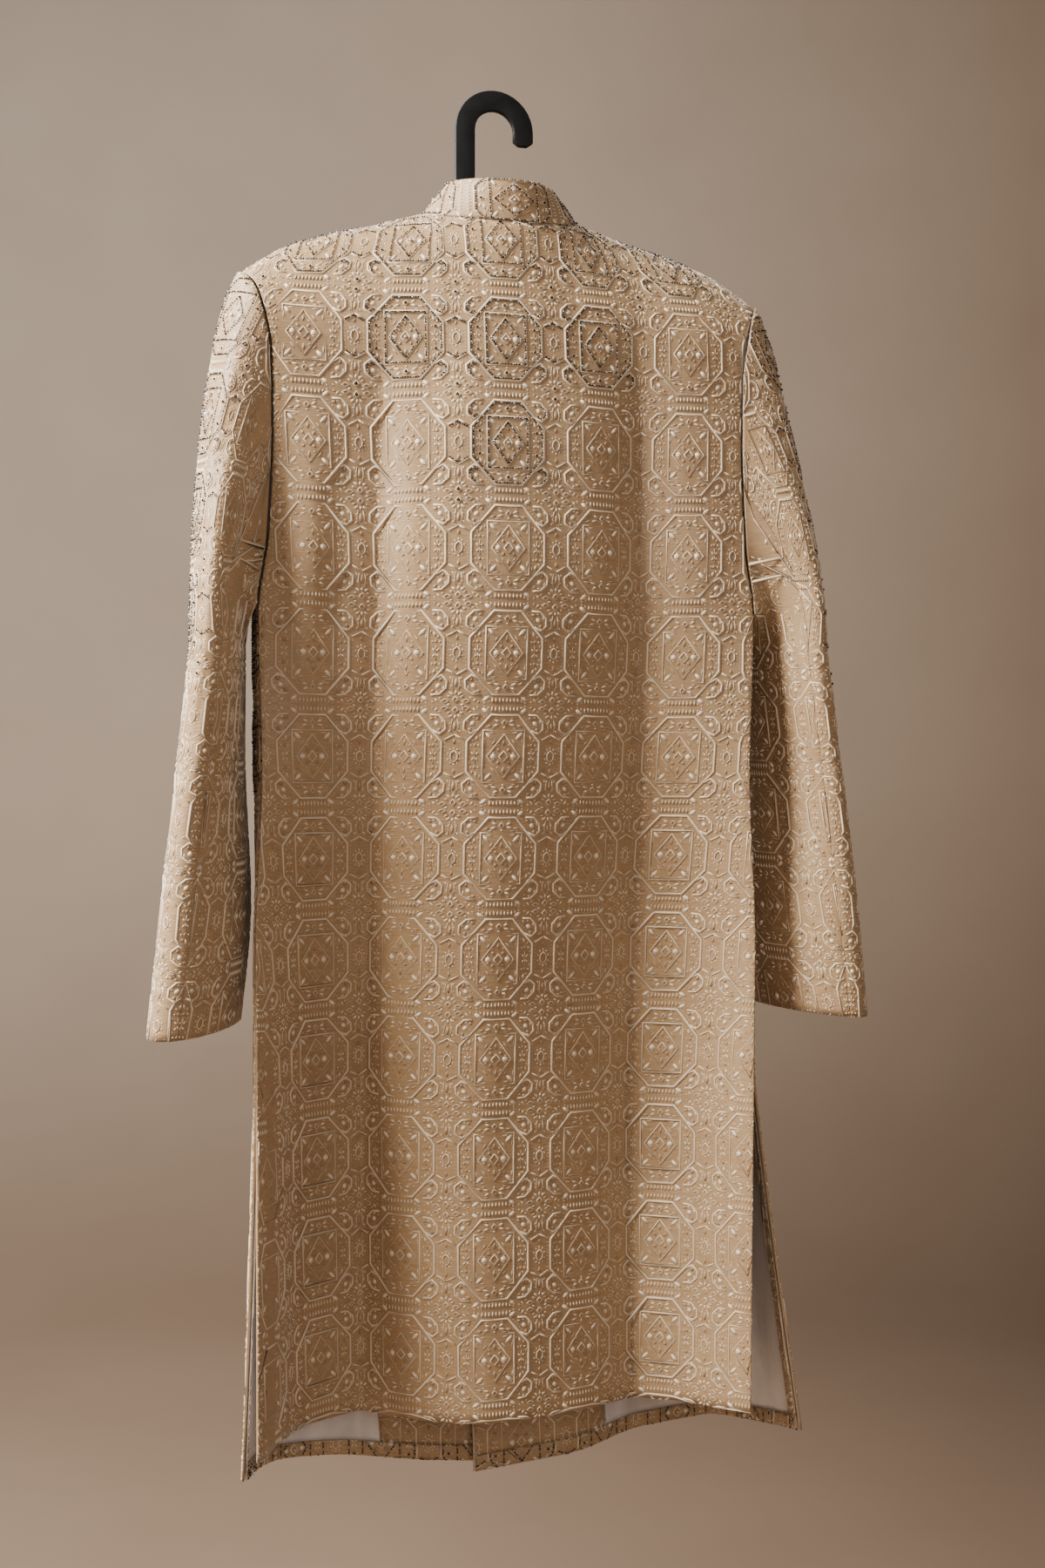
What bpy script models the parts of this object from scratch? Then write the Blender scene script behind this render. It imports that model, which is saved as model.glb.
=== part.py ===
"""A knee-length sherwani coat hanging on a flat plastic hanger.

Metres, +Z up. The coat's front faces -Y and the wearer's left is +X. The origin is where the
hook bears on what holds it, inside the top of its arch. Each cut piece is a wall of its own.
"""

import math

import bmesh
import bpy
from mathutils import Vector

for old in list(bpy.data.objects):
    bpy.data.objects.remove(old, do_unlink=True)

# Driving sizes
CENTRE = -0.006  # the coat hangs this far beside the bearing point
CLOTH = 0.002  # embroidered silk with its interlining
LINING = 0.001
SEAM = 0.0005  # gap between the pieces at a seam
TIP = 0.2305  # centre to shoulder tip
SHOULDER_Z = -0.161
UNDERARM_Z = -0.445
SLIT_Z = -0.846  # top of the side slits
BACK_HEM_Z = -1.151
BACK_TOP_Z = -0.210  # below this height the back is cut into level sections
FRONT_TOP_Z = -0.250
NECK = 0.071  # half the neck's width
NECK_BACK = (0.050, -0.109)  # y and z of the collar seam at the centre back
NECK_SIDE_Z = -0.096
NECK_FRONT = (-0.078, -0.172)
NECK_TURN = 110  # degrees of the neck from its side to a front's edge, past the centre
CUFF_Z = -0.794

# The shoulder seam: distance from the centre, height
SHOULDER = ((0.071, -0.096), (0.110, -0.109), (0.150, -0.1205), (0.190, -0.135), (0.215, -0.150), (TIP, SHOULDER_Z))

# Half-width of the back at each height, the armholes and then the side seams
BACK_WIDTH = ((-0.161, 0.2305), (-0.185, 0.2185), (-0.230, 0.2080), (-0.300, 0.2060), (-0.380, 0.2085),
              (-0.445, 0.2165), (-0.580, 0.2135), (-0.735, 0.2200), (-1.151, 0.2195))

# The back's sections: depth (y) at the left side, between side and crease, at the left crease, right
# of it, at the centre, left of the right crease, at the right crease, past it, and at the right side
BACK_COLUMNS = ("height", "side_l", "past_l", "crease_l", "in_l", "centre", "in_r", "crease_r", "past_r", "side_r")
BACK = (
    (-0.210, 0.046, 0.048, 0.052, 0.056, 0.065, 0.058, 0.053, 0.053, 0.047),
    (-0.300, 0.038, 0.043, 0.042, 0.058, 0.070, 0.062, 0.049, 0.056, 0.052),
    (-0.390, 0.029, 0.040, 0.034, 0.056, 0.069, 0.061, 0.045, 0.058, 0.054),
    (-0.480, 0.024, 0.029, 0.022, 0.046, 0.060, 0.050, 0.034, 0.049, 0.055),
    (-0.570, 0.026, 0.015, 0.006, 0.031, 0.047, 0.036, 0.019, 0.035, 0.054),
    (-0.660, 0.031, 0.002, -0.010, 0.017, 0.036, 0.020, 0.001, 0.018, 0.052),
    (-0.750, 0.038, -0.010, -0.026, 0.003, 0.025, 0.008, -0.012, 0.004, 0.050),
    (-0.920, 0.046, -0.026, -0.050, -0.019, 0.010, -0.006, -0.028, -0.011, 0.046),
    (-1.151, 0.048, -0.036, -0.065, -0.032, 0.003, -0.011, -0.033, -0.014, 0.041),
)
# Where those columns stand, at the top and at the hem. The sides follow BACK_WIDTH.
BACK_X_TOP = (None, 0.160, 0.1125, 0.083, 0.005, -0.080, -0.116, -0.160, None)
BACK_X_HEM = (None, 0.160, 0.1060, 0.074, 0.003, -0.084, -0.140, -0.172, None)

# The fronts' sections, x and y at the turn of the side, the hip, the quarter, the middle and the front
# edge. They start at the side seam, which the back gives.
FRONT_COLUMNS = ("height", "turn_x", "turn_y", "hip_x", "hip_y", "quarter_x", "quarter_y",
                 "middle_x", "middle_y", "edge_x", "edge_y")
FRONT_LEFT = (
    (-0.250, 0.2080, -0.020, 0.182, -0.067, 0.130, -0.092, 0.045, -0.103, -0.033, -0.1055),
    (-0.450, 0.2085, -0.022, 0.190, -0.070, 0.135, -0.102, 0.050, -0.117, -0.033, -0.1200),
    (-0.600, 0.2075, -0.020, 0.190, -0.064, 0.137, -0.095, 0.050, -0.107, -0.034, -0.1090),
    (-0.750, 0.2060, -0.014, 0.192, -0.060, 0.140, -0.090, 0.050, -0.098, -0.036, -0.0995),
    (-0.950, 0.2080, -0.022, 0.190, -0.066, 0.140, -0.089, 0.052, -0.0855, -0.040, -0.0830),
    (-1.190, 0.2060, -0.038, 0.172, -0.077, 0.118, -0.090, 0.040, -0.071, -0.045, -0.0620),
)
FRONT_RIGHT = (
    (-0.250, -0.2200, -0.020, -0.194, -0.067, -0.142, -0.090, -0.057, -0.100, 0.019, -0.1015),
    (-0.450, -0.2265, -0.020, -0.204, -0.070, -0.147, -0.100, -0.062, -0.113, 0.019, -0.1155),
    (-0.600, -0.2270, -0.018, -0.204, -0.064, -0.149, -0.093, -0.062, -0.103, 0.018, -0.1045),
    (-0.750, -0.2310, -0.012, -0.206, -0.060, -0.152, -0.086, -0.062, -0.092, 0.016, -0.0940),
    (-0.950, -0.2440, -0.016, -0.214, -0.066, -0.156, -0.084, -0.066, -0.078, 0.011, -0.0765),
    (-1.190, -0.2670, -0.030, -0.228, -0.086, -0.166, -0.090, -0.080, -0.056, 0.0045, -0.0555),
)
# How far the front's slit edge stands off the back's at the hem, x and y; then its hem heights
OPEN = {"left": (0.006, -0.0345), "right": (-0.051, -0.012)}
HEM_Z = {"left": (-1.179, -1.209), "right": (-1.175, -1.212)}
# How much of the front's section the armhole cuts away, by height
ARMHOLE_CUT = ((-0.250, 0.21), (-0.310, 0.235), (-0.370, 0.205), (-0.415, 0.12), (-0.436, 0.05), (-0.445, 0.0))

# The sleeves' sections below the armhole: centre x on each side, centre y, half length, half thickness,
# and the turn of the long way from the coat's width, in degrees
SLEEVE_COLUMNS = ("height", "left_x", "right_x", "y", "long", "thick", "turn")
SLEEVE = (
    (-0.475, 0.2415, -0.2640, 0.000, 0.078, 0.0220, 78),
    (-0.590, 0.2470, -0.2755, -0.002, 0.074, 0.0255, 70),
    (-0.710, 0.2530, -0.2840, 0.005, 0.068, 0.0300, 60),
    (CUFF_Z, 0.2620, -0.2945, 0.010, 0.060, 0.0295, 55),
)
SLEEVE_SEAMS = (118, 250)  # back and front seams, degrees round from the outer line by the back
CUFF_SLANT = 0.005

# The hook and arms of the hanger
STRAP = 0.0176
ARCH = 0.0264  # radius to the middle of the strap
HANGER_THICK = 0.006
HANGER_REACH = 0.195
BUTTONS = 8


def through(rows, at, column=1):
    """A smooth curve through one column of a table whose first column falls or rises steadily."""
    keys = [row[0] for row in rows]
    values = [row[column] for row in rows]
    if keys[0] > keys[-1]:
        keys.reverse()
        values.reverse()
    if at <= keys[0]:
        return values[0]
    if at >= keys[-1]:
        return values[-1]
    i = max(k for k in range(len(keys) - 1) if keys[k] <= at)
    steps = [(values[k + 1] - values[k]) / (keys[k + 1] - keys[k]) for k in range(len(keys) - 1)]

    def slope(k):
        if k in (0, len(keys) - 1):
            return steps[min(k, len(steps) - 1)]
        before, after = steps[k - 1], steps[k]
        return 0.0 if before * after <= 0 else 2 * before * after / (before + after)

    gap = keys[i + 1] - keys[i]
    u = (at - keys[i]) / gap
    bend = (values[i + 1] - values[i]) * (3 * u * u - 2 * u**3)
    return values[i] + bend + gap * u * (1 - u) * (slope(i) * (1 - u) - slope(i + 1) * u)


def mix(a, b, share):
    return a + (b - a) * share


def fall(start, end, share, roundness):
    """From start to end: straight at roundness 0, and at 1 level first and then down, as over a shoulder."""
    turn = math.radians(90 * share)
    out = mix(share, math.sin(turn), roundness)
    down = mix(share, 1 - math.cos(turn), roundness)
    return Vector((mix(start.x, end.x, out), mix(start.y, end.y, out), mix(start.z, end.z, down)))


def roundness_at(from_centre):
    """The shoulders round over. Inside the neck the cloth falls from the collar nearly straight."""
    return mix(0.25, 1, min(abs(from_centre) / NECK, 1) ** 2)


# Back


def back_section(x, z):
    """Depth of the back at x, on the level z: three smooth stretches between the two creases."""
    low = min(max((BACK_TOP_Z - z) / (BACK_TOP_Z - BACK_HEM_Z), 0), 1)
    width = through(BACK_WIDTH, z)
    stations = [width, *(mix(a, b, low) for a, b in zip(BACK_X_TOP[1:-1], BACK_X_HEM[1:-1])), -width]
    points = [(CENTRE + s if i in (0, 8) else s, through(BACK, z, i + 1)) for i, s in enumerate(stations)]
    stretch = points[6:] if x < points[6][0] else points[2:7] if x < points[2][0] else points[:3]
    return through(stretch, x)


def shoulder_seam(x):
    """The shoulder seam, or inside the neck the collar seam, at this distance from the centre."""
    far = abs(x)
    if far >= NECK:
        return Vector((CENTRE + x, 0.012 * (far - NECK) / (TIP - NECK), through(SHOULDER, far)))
    round_neck = math.sqrt(1 - (far / NECK) ** 2)
    return Vector((CENTRE + x, NECK_BACK[0] * round_neck, mix(NECK_SIDE_Z, NECK_BACK[1], round_neck)))


def back_point(across, level):
    """across runs from -1 to 1, the left side. level runs from -1 at the shoulder, past 0 at the top
    section, to 1 at the hem."""
    if level >= 0:
        z = mix(BACK_TOP_Z, BACK_HEM_Z, level)
        x = CENTRE + across * through(BACK_WIDTH, z)
        return Vector((x, back_section(x, z), z))
    share = 1 + level
    edge_z = mix(BACK_TOP_Z, SHOULDER_Z, math.cos(math.radians(90 * share)))
    x = across * through(BACK_WIDTH, edge_z)
    bottom = Vector((CENTRE + x, back_section(CENTRE + x, BACK_TOP_Z), BACK_TOP_Z))
    return fall(shoulder_seam(x), bottom, share, roundness_at(x))


# Fronts


def side_start(side, z):
    """Where the front's section starts: inside the back's side edge, and off it below the slit's top."""
    sign = 1 if side == "left" else -1
    edge = CENTRE + sign * through(BACK_WIDTH, z)
    edge_y = back_section(edge, z)
    rise = (edge_y - back_section(edge - sign * 0.012, z)) / 0.012
    inward = Vector((sign * rise, -1)).normalized()
    inward *= CLOTH + 2 * SEAM + CLOTH * max(sign * inward.x, 0)
    open_share = max((SLIT_Z - z) / (SLIT_Z - BACK_HEM_Z), 0) ** 1.1
    return Vector((edge, edge_y)) + inward + Vector(OPEN[side]) * open_share


def front_section(side, across, z):
    """across runs from 0 at the side to 1 at the front edge."""
    table = FRONT_LEFT if side == "left" else FRONT_RIGHT
    start = side_start(side, z)
    xs = [(0, start.x), *((k / 5, through(table, z, 2 * k - 1)) for k in range(1, 6))]
    ys = [(0, start.y), *((k / 5, through(table, z, 2 * k)) for k in range(1, 6))]
    return Vector((through(xs, across), through(ys, across), z))


def lap(side, across):
    """How far the left front, with its end of the collar, stands forward to lie over the right one."""
    return 0.0042 * min(max(0, across - 0.65) / 0.15, 1) if side == "left" else 0


def front_neck(side, across):
    """The front's top edge, 0 at the shoulder tip and 1 at the front edge."""
    sign = 1 if side == "left" else -1
    if across < 0.5:
        seam = shoulder_seam(sign * mix(TIP, NECK, across / 0.5))
        return seam - Vector((0, 2 * SEAM, 0))
    turn = math.radians(mix(0, NECK_TURN, (across - 0.5) / 0.5))
    drop = max(math.sin(turn), 0)
    return Vector((
        CENTRE + sign * NECK * math.cos(turn),
        mix(0, NECK_FRONT[0], drop) - 2 * SEAM - lap(side, across),
        mix(NECK_SIDE_Z, NECK_FRONT[1], drop**1.3),
    ))


def front_point(side, across, level):
    """level runs from -1 at the shoulder and neck, past 0 at the top section, to 1 at the hem."""
    if level >= 0:
        hem = mix(*HEM_Z[side], across)
        z = mix(FRONT_TOP_Z, hem, level)
        cut = through(ARMHOLE_CUT, z)
        return front_section(side, mix(cut, 1, across), z)
    bottom = front_section(side, mix(through(ARMHOLE_CUT, FRONT_TOP_Z), 1, across), FRONT_TOP_Z)
    top = front_neck(side, across)
    return fall(top, bottom, 1 + level, roundness_at(top.x - CENTRE))


# Sleeves


def sleeve_section(side, turn, z):
    """A point of the sleeve on the level z. turn is in degrees, 0 on the outer line and 90 at the back."""
    sign = 1 if side == "left" else -1
    centre_x = through(SLEEVE, z, 1 if side == "left" else 2)
    centre_y, long, thick, lean = (through(SLEEVE, z, k) for k in (3, 4, 5, 6))
    lean = math.radians(lean)
    out = thick * math.cos(math.radians(turn))
    back = long * math.sin(math.radians(turn))
    x = out * math.sin(lean) + back * math.cos(lean)
    y = back * math.sin(lean) - out * math.cos(lean)
    slant = CUFF_SLANT * math.sin(math.radians(turn)) * (z - UNDERARM_Z) / (UNDERARM_Z - CUFF_Z)
    return Vector((centre_x + sign * x, centre_y + y, z + slant))


def armhole(side, turn):
    """The armhole's edge: down the back to the underarm at 180 degrees, and up the front."""
    sign = 1 if side == "left" else -1
    if turn <= 180:
        share = turn / 180
        level = -1 + share / 0.3 if share < 0.3 else (share - 0.3) / 0.7 * (
            (BACK_TOP_Z - UNDERARM_Z) / (BACK_TOP_Z - BACK_HEM_Z))
        return back_point(sign, level)
    share = (360 - turn) / 180
    level = -1 + share / 0.35 if share < 0.35 else (share - 0.35) / 0.65 * (
        (FRONT_TOP_Z - UNDERARM_Z) / (FRONT_TOP_Z - HEM_Z[side][0]))
    return front_point(side, 0, level)


def sleeve_point(side, turn, down):
    """down runs from 0 at the armhole, past 0.3 under the arm, to 1 at the cuff."""
    sign = 1 if side == "left" else -1
    start = armhole(side, turn) + Vector((sign * (CLOTH + 2 * SEAM), 0, 0))
    top_z = SLEEVE[0][0]
    if down >= 0.3:
        return sleeve_section(side, turn, mix(top_z, CUFF_Z, (down - 0.3) / 0.7))
    end = sleeve_section(side, turn, top_z)
    drop = start.z - end.z
    first = start + Vector((sign * 0.07 * drop, 0, -0.12 * drop))
    second = end + Vector((0, 0, 0.55 * drop))
    u = down / 0.3
    a, b, c, d = (1 - u) ** 3, 3 * u * (1 - u) ** 2, 3 * u * u * (1 - u), u**3
    return start * a + first * b + second * c + end * d


# Collar


def collar_point(turn, up):
    """turn is in degrees from the centre back, negative to the wearer's right; up runs from 0 to 1."""
    round_ = math.radians(turn)
    side, back = math.sin(round_), math.cos(round_)
    front = max(-back, 0)
    low = Vector((
        CENTRE + NECK * side,
        NECK_BACK[0] * back if back > 0 else -NECK_FRONT[0] * back,
        (mix(NECK_SIDE_Z, NECK_BACK[1], back) if back > 0 else mix(NECK_SIDE_Z, NECK_FRONT[1], front**1.3)) + 0.0008,
    ))
    high = Vector((
        -0.0035 + 0.0450 * side,
        0.052 * back if back > 0 else 0.088 * back,
        mix(-0.0660, -0.0744, back) if back > 0 else mix(-0.0660, -0.1300, front**1.3),
    ))
    forward = lap("left", 0.5 + 0.5 * (turn - 90) / NECK_TURN) if turn > 90 else 0
    return low.lerp(high, up) - Vector((0, forward, 0))


# Making walls


def material(name, colour, roughness, metallic=0.0):
    made = bpy.data.materials.new(name)
    made.use_nodes = True
    shader = made.node_tree.nodes["Principled BSDF"]
    shader.inputs["Base Color"].default_value = (*colour, 1)
    shader.inputs["Roughness"].default_value = roughness
    shader.inputs["Metallic"].default_value = metallic
    return made


SILK = material("embroidered_silk", (0.44, 0.31, 0.18), 0.55)
SATIN = material("satin_lining", (0.42, 0.38, 0.35), 0.35)
BLACK = material("black_plastic", (0.012, 0.013, 0.015), 0.4)
BUTTON = material("button_plastic", (0.42, 0.30, 0.18), 0.3)


def finish(name, mesh, surface):
    made = bpy.data.meshes.new(name)
    bmesh.ops.recalc_face_normals(mesh, faces=mesh.faces[:])
    mesh.to_mesh(made)
    mesh.free()
    made.materials.append(surface)
    node = bpy.data.objects.new(name, made)
    bpy.context.scene.collection.objects.link(node)
    return node


def inward(outer, column, row, columns, rows, flip, tube):
    """The direction into the wall at this point of the surface. A tube's columns go on past its edges."""
    near_c = (columns[-1] - columns[0]) * 0.002
    near_r = (rows[-1] - rows[0]) * 0.002
    before, after = column - near_c, column + near_c
    if not tube:
        before, after = max(before, columns[0]), min(after, columns[-1])
    along = outer(after, row) - outer(before, row)
    down = outer(column, min(row + near_r, rows[-1])) - outer(column, max(row - near_r, rows[0]))
    normal = along.cross(down).normalized()
    return -normal if flip else normal


def wall(name, surface, outer, columns, rows, thick=CLOTH, flip=False, tube=False, level=False):
    """A closed wall. outer(column, row) gives its outer side; the inner one is moved in by the thickness,
    and level keeps that move level, for an edge that sits square on another."""
    high, wide = len(rows), len(columns)
    grid = [[outer(c, r) for c in columns] for r in rows]
    into = [[inward(outer, c, r, columns, rows, flip, tube) for c in columns] for r in rows]
    into = [[(Vector((*n.xy, 0)).normalized() if level else n) * thick for n in row] for row in into]

    mesh = bmesh.new()
    outside = [[mesh.verts.new(grid[r][c]) for c in range(wide)] for r in range(high)]
    inside = [[mesh.verts.new(grid[r][c] + into[r][c]) for c in range(wide)] for r in range(high)]
    for r in range(high - 1):
        for c in range(wide - 1):
            mesh.faces.new((outside[r][c], outside[r][c + 1], outside[r + 1][c + 1], outside[r + 1][c]))
            mesh.faces.new((inside[r][c], inside[r + 1][c], inside[r + 1][c + 1], inside[r][c + 1]))
    rim = [(0, c) for c in range(wide - 1)] + [(r, wide - 1) for r in range(high - 1)]
    rim += [(high - 1, c) for c in range(wide - 1, 0, -1)] + [(r, 0) for r in range(high - 1, 0, -1)]
    for (r0, c0), (r1, c1) in zip(rim, rim[1:] + rim[:1]):
        mesh.faces.new((outside[r0][c0], inside[r0][c0], inside[r1][c1], outside[r1][c1]))
    return finish(name, mesh, surface)


def spread(first, last, count):
    return [mix(first, last, k / (count - 1)) for k in range(count)]


# Back panel: its columns crowd at the creases
back_columns = [-1, -0.93, -0.86, -0.78, -0.70, -0.62, -0.575, -0.53, -0.49, -0.42, -0.34, -0.22, -0.10, 0.02,
                0.14, 0.25, 0.35, 0.42, 0.48, 0.54, 0.60, 0.68, 0.77, 0.88, 1]
back_rows = [-1, -0.8, -0.6, -0.4, -0.2, *spread(0, 1, 17)]
wall("back", SILK, back_point, back_columns, back_rows, flip=True)

# Fronts
front_columns = spread(0, 1, 17)
front_rows = [-1, -0.7, -0.35, 0, 0.07, 0.13, 0.175, 0.2, 0.21, *spread(0.27, 1, 12)]
for side in ("left", "right"):
    wall(f"front_{side}", SILK, lambda c, r, s=side: front_point(s, c, r), front_columns, front_rows,
         flip=side == "left")

# Sleeves: a top piece round the outside and an under piece against the coat
sleeve_rows = [0, 0.05, 0.1, 0.16, 0.23, *spread(0.3, 1, 9)]
back_seam, front_seam = SLEEVE_SEAMS
seam_turn = math.degrees(2 * SEAM / 0.03)
for side in ("left", "right"):
    pieces = (("top", front_seam - 360 + seam_turn, back_seam - seam_turn, 14), ("under", back_seam, front_seam, 9))
    for part, first, last, count in pieces:
        wall(f"sleeve_{side}_{part}", SILK, lambda c, r, s=side: sleeve_point(s, c % 360, r),
             spread(first, last, count), sleeve_rows, flip=side == "right", tube=True)

# Collar, open at the front
# Its front columns stand over the fronts' columns, so that the two edges run side by side.
neck_step = NECK_TURN / 8
front_turns = [90 + neck_step * k for k in range(1, 7)] + [177]
collar_columns = [-turn for turn in reversed(front_turns)] + spread(-90, 90, 15) + front_turns
wall("collar", SILK, collar_point, collar_columns, spread(0, 1, 3), thick=0.003, level=True)


# Facings and linings of the fronts, moved in from the front's own points
FACING = 0.105
HEM_TURN = 0.010
LINING_TOP_Z = -0.800


def inner_point(side, across, low, depth):
    """A point inside the front: low runs from 0 at the lining's top to 1 just above the hem."""
    hem = mix(*HEM_Z[side], across)
    level = (FRONT_TOP_Z - mix(LINING_TOP_Z, hem + HEM_TURN, low)) / (FRONT_TOP_Z - hem)
    here = front_point(side, across, level)
    along = front_point(side, min(across + 0.01, 1), level) - front_point(side, max(across - 0.01, 0), level)
    down = front_point(side, across, min(level + 0.01, 1)) - front_point(side, across, level - 0.01)
    normal = along.cross(down).normalized()
    return here + normal * (depth if side == "right" else -depth)


for side in ("left", "right"):
    width = sum((front_point(side, (k + 1) / 40, 0.9) - front_point(side, k / 40, 0.9)).length for k in range(40))
    turn_share, facing_share, seam_share = HEM_TURN / width, 1 - FACING / width, SEAM / width
    depth = CLOTH + 2 * SEAM
    shape = lambda c, r, s=side: inner_point(s, c, r, depth)
    wall(f"lining_{side}", SATIN, shape, spread(turn_share, facing_share - seam_share, 11), spread(0, 1, 9),
         thick=LINING, flip=side == "left")
    wall(f"facing_{side}", SILK, shape, spread(facing_share, 1 - 2 * seam_share, 6), spread(0, 1, 9),
         thick=LINING, flip=side == "left")

# Buttons down the centre front: low domes standing just off the cloth
for number in range(BUTTONS):
    level = (FRONT_TOP_Z - mix(-0.262, -0.640, number / (BUTTONS - 1))) / (FRONT_TOP_Z - HEM_Z["left"][1])
    spot = front_point("left", 0.925, level)
    along = front_point("left", 0.93, level) - spot
    down = front_point("left", 0.925, level + 0.01) - spot
    out = -along.cross(down).normalized()
    out = out if out.y < 0 else -out
    mesh = bmesh.new()
    rings = ((0.0060, 0.0006), (0.0070, 0.0024), (0.0050, 0.0046))
    bmesh.ops.create_circle(mesh, segments=12, radius=rings[0][0], cap_ends=True)
    bmesh.ops.translate(mesh, vec=(0, 0, rings[0][1]), verts=mesh.verts[:])
    loop = [e for e in mesh.edges]
    for radius, height in (*rings[1:], (0.0, 0.0052)):
        grown = bmesh.ops.extrude_edge_only(mesh, edges=loop)["geom"]
        verts = [g for g in grown if isinstance(g, bmesh.types.BMVert)]
        loop = [g for g in grown if isinstance(g, bmesh.types.BMEdge)]
        for vert in verts:
            flat = vert.co.xy.normalized() * radius
            vert.co = (flat.x, flat.y, height)
    bmesh.ops.remove_doubles(mesh, verts=mesh.verts[:], dist=0.0001)
    button = finish(f"button_{number + 1}", mesh, BUTTON)
    button.matrix_world = out.to_track_quat("Z", "Y").to_matrix().to_4x4()
    button.location = spot

# Hanger: one flat moulding, its outline in the coat's width and height
arch_z = -ARCH + STRAP / 2
inner, outer = ARCH - STRAP / 2, ARCH + STRAP / 2
arms_top = [(x, through(SHOULDER, max(abs(x - CENTRE), NECK)) - 0.0060) for x in spread(-HANGER_REACH, 0.178, 11)]
outline = [(outer * math.cos(a), arch_z + outer * math.sin(a)) for a in (math.pi * k / 18 for k in range(19))]
outline += [(-outer, arch_z - 0.008), (-outer + 0.005, arch_z - 0.0115), (-inner - 0.005, arch_z - 0.0115),
            (-inner, arch_z - 0.008)]
outline += [(inner * math.cos(a), arch_z + inner * math.sin(a)) for a in (math.pi * k / 12 for k in range(12, -1, -1))]
neck_z = -0.125
left_arm = [p for p in reversed(arms_top) if p[0] > 0.05]
right_arm = [p for p in reversed(arms_top) if p[0] < -0.02]
under = [(x, z - 0.026) for x, z in arms_top]
outline += [(inner, neck_z), (inner - 0.012, neck_z - 0.004)]
outline += right_arm
outline += [(right_arm[-1][0] - 0.006, right_arm[-1][1] - 0.012)]
outline += under
outline += [(left_arm[0][0] + 0.006, left_arm[0][1] - 0.012)]
outline += left_arm
outline += [(outer + 0.010, neck_z - 0.002), (outer, neck_z + 0.008)]
mesh = bmesh.new()
plate = mesh.faces.new([mesh.verts.new((x, -HANGER_THICK / 2, z)) for x, z in outline])
grown = bmesh.ops.extrude_face_region(mesh, geom=[plate])["geom"]
bmesh.ops.translate(mesh, vec=(0, HANGER_THICK, 0), verts=[g for g in grown if isinstance(g, bmesh.types.BMVert)])
finish("hanger", mesh, BLACK)
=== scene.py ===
"""Looks of a knee-length sherwani coat on its hanger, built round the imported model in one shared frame."""

import math

import bmesh
import bpy
import numpy as np
from mathutils import Matrix, Vector


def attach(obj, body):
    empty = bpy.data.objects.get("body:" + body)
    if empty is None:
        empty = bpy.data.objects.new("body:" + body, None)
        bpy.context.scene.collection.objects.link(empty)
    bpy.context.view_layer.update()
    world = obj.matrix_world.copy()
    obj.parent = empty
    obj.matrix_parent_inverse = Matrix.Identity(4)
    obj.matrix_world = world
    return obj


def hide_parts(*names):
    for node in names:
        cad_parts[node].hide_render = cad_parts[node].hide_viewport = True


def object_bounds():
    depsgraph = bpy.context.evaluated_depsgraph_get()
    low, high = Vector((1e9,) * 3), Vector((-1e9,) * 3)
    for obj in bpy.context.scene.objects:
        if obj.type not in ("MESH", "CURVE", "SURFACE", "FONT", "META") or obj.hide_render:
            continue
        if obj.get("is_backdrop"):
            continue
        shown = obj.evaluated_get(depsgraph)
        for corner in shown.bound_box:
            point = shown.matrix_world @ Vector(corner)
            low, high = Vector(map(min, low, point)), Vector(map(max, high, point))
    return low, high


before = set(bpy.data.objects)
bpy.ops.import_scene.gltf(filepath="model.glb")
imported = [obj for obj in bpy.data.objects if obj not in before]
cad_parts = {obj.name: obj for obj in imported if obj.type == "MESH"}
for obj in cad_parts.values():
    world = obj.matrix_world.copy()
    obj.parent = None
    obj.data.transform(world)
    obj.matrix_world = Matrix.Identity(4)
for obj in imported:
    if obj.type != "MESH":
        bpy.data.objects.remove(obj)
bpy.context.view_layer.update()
scene = bpy.context.scene


# Hanger
# A flat moulded hanger of black plastic, its hook a wide strap in the same moulding. The edges are
# slightly rounded, as they come from the mould.


def node_material(name, roughness, **inputs):
    """A Principled material, with its node tree and its shader."""
    made = bpy.data.materials.new(name)
    made.use_nodes = True
    tree = made.node_tree
    shader = tree.nodes["Principled BSDF"]
    shader.inputs["Roughness"].default_value = roughness
    for socket, value in inputs.items():
        shader.inputs[socket.replace("_", " ")].default_value = value
    return made, tree, shader


def ramp(tree, source, stops):
    """Colours by the source's value. Each stop is a position and a colour."""
    made = tree.nodes.new("ShaderNodeValToRGB")
    elements = made.color_ramp.elements
    while len(elements) < len(stops):
        elements.new(0.5)
    for element, (position, colour) in zip(elements, stops):
        element.position = position
        element.color = (*colour, 1)
    tree.links.new(source, made.inputs["Fac"])
    return made.outputs["Color"]


def noise(tree, vector, scale, detail=2.0, roughness=0.5):
    made = tree.nodes.new("ShaderNodeTexNoise")
    made.inputs["Scale"].default_value = scale
    made.inputs["Detail"].default_value = detail
    made.inputs["Roughness"].default_value = roughness
    tree.links.new(vector, made.inputs["Vector"])
    return made.outputs["Fac"]


def bump(tree, shader, height, strength, distance):
    made = tree.nodes.new("ShaderNodeBump")
    made.inputs["Strength"].default_value = strength
    made.inputs["Distance"].default_value = distance
    tree.links.new(height, made.inputs["Height"])
    tree.links.new(made.outputs["Normal"], shader.inputs["Normal"])


def finished(name, mesh, surfaces):
    made = bpy.data.meshes.new(name)
    mesh.to_mesh(made)
    mesh.free()
    for surface in surfaces:
        made.materials.append(surface)
    made.shade_smooth()
    piece = bpy.data.objects.new(name, made)
    scene.collection.objects.link(piece)
    return piece


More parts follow.
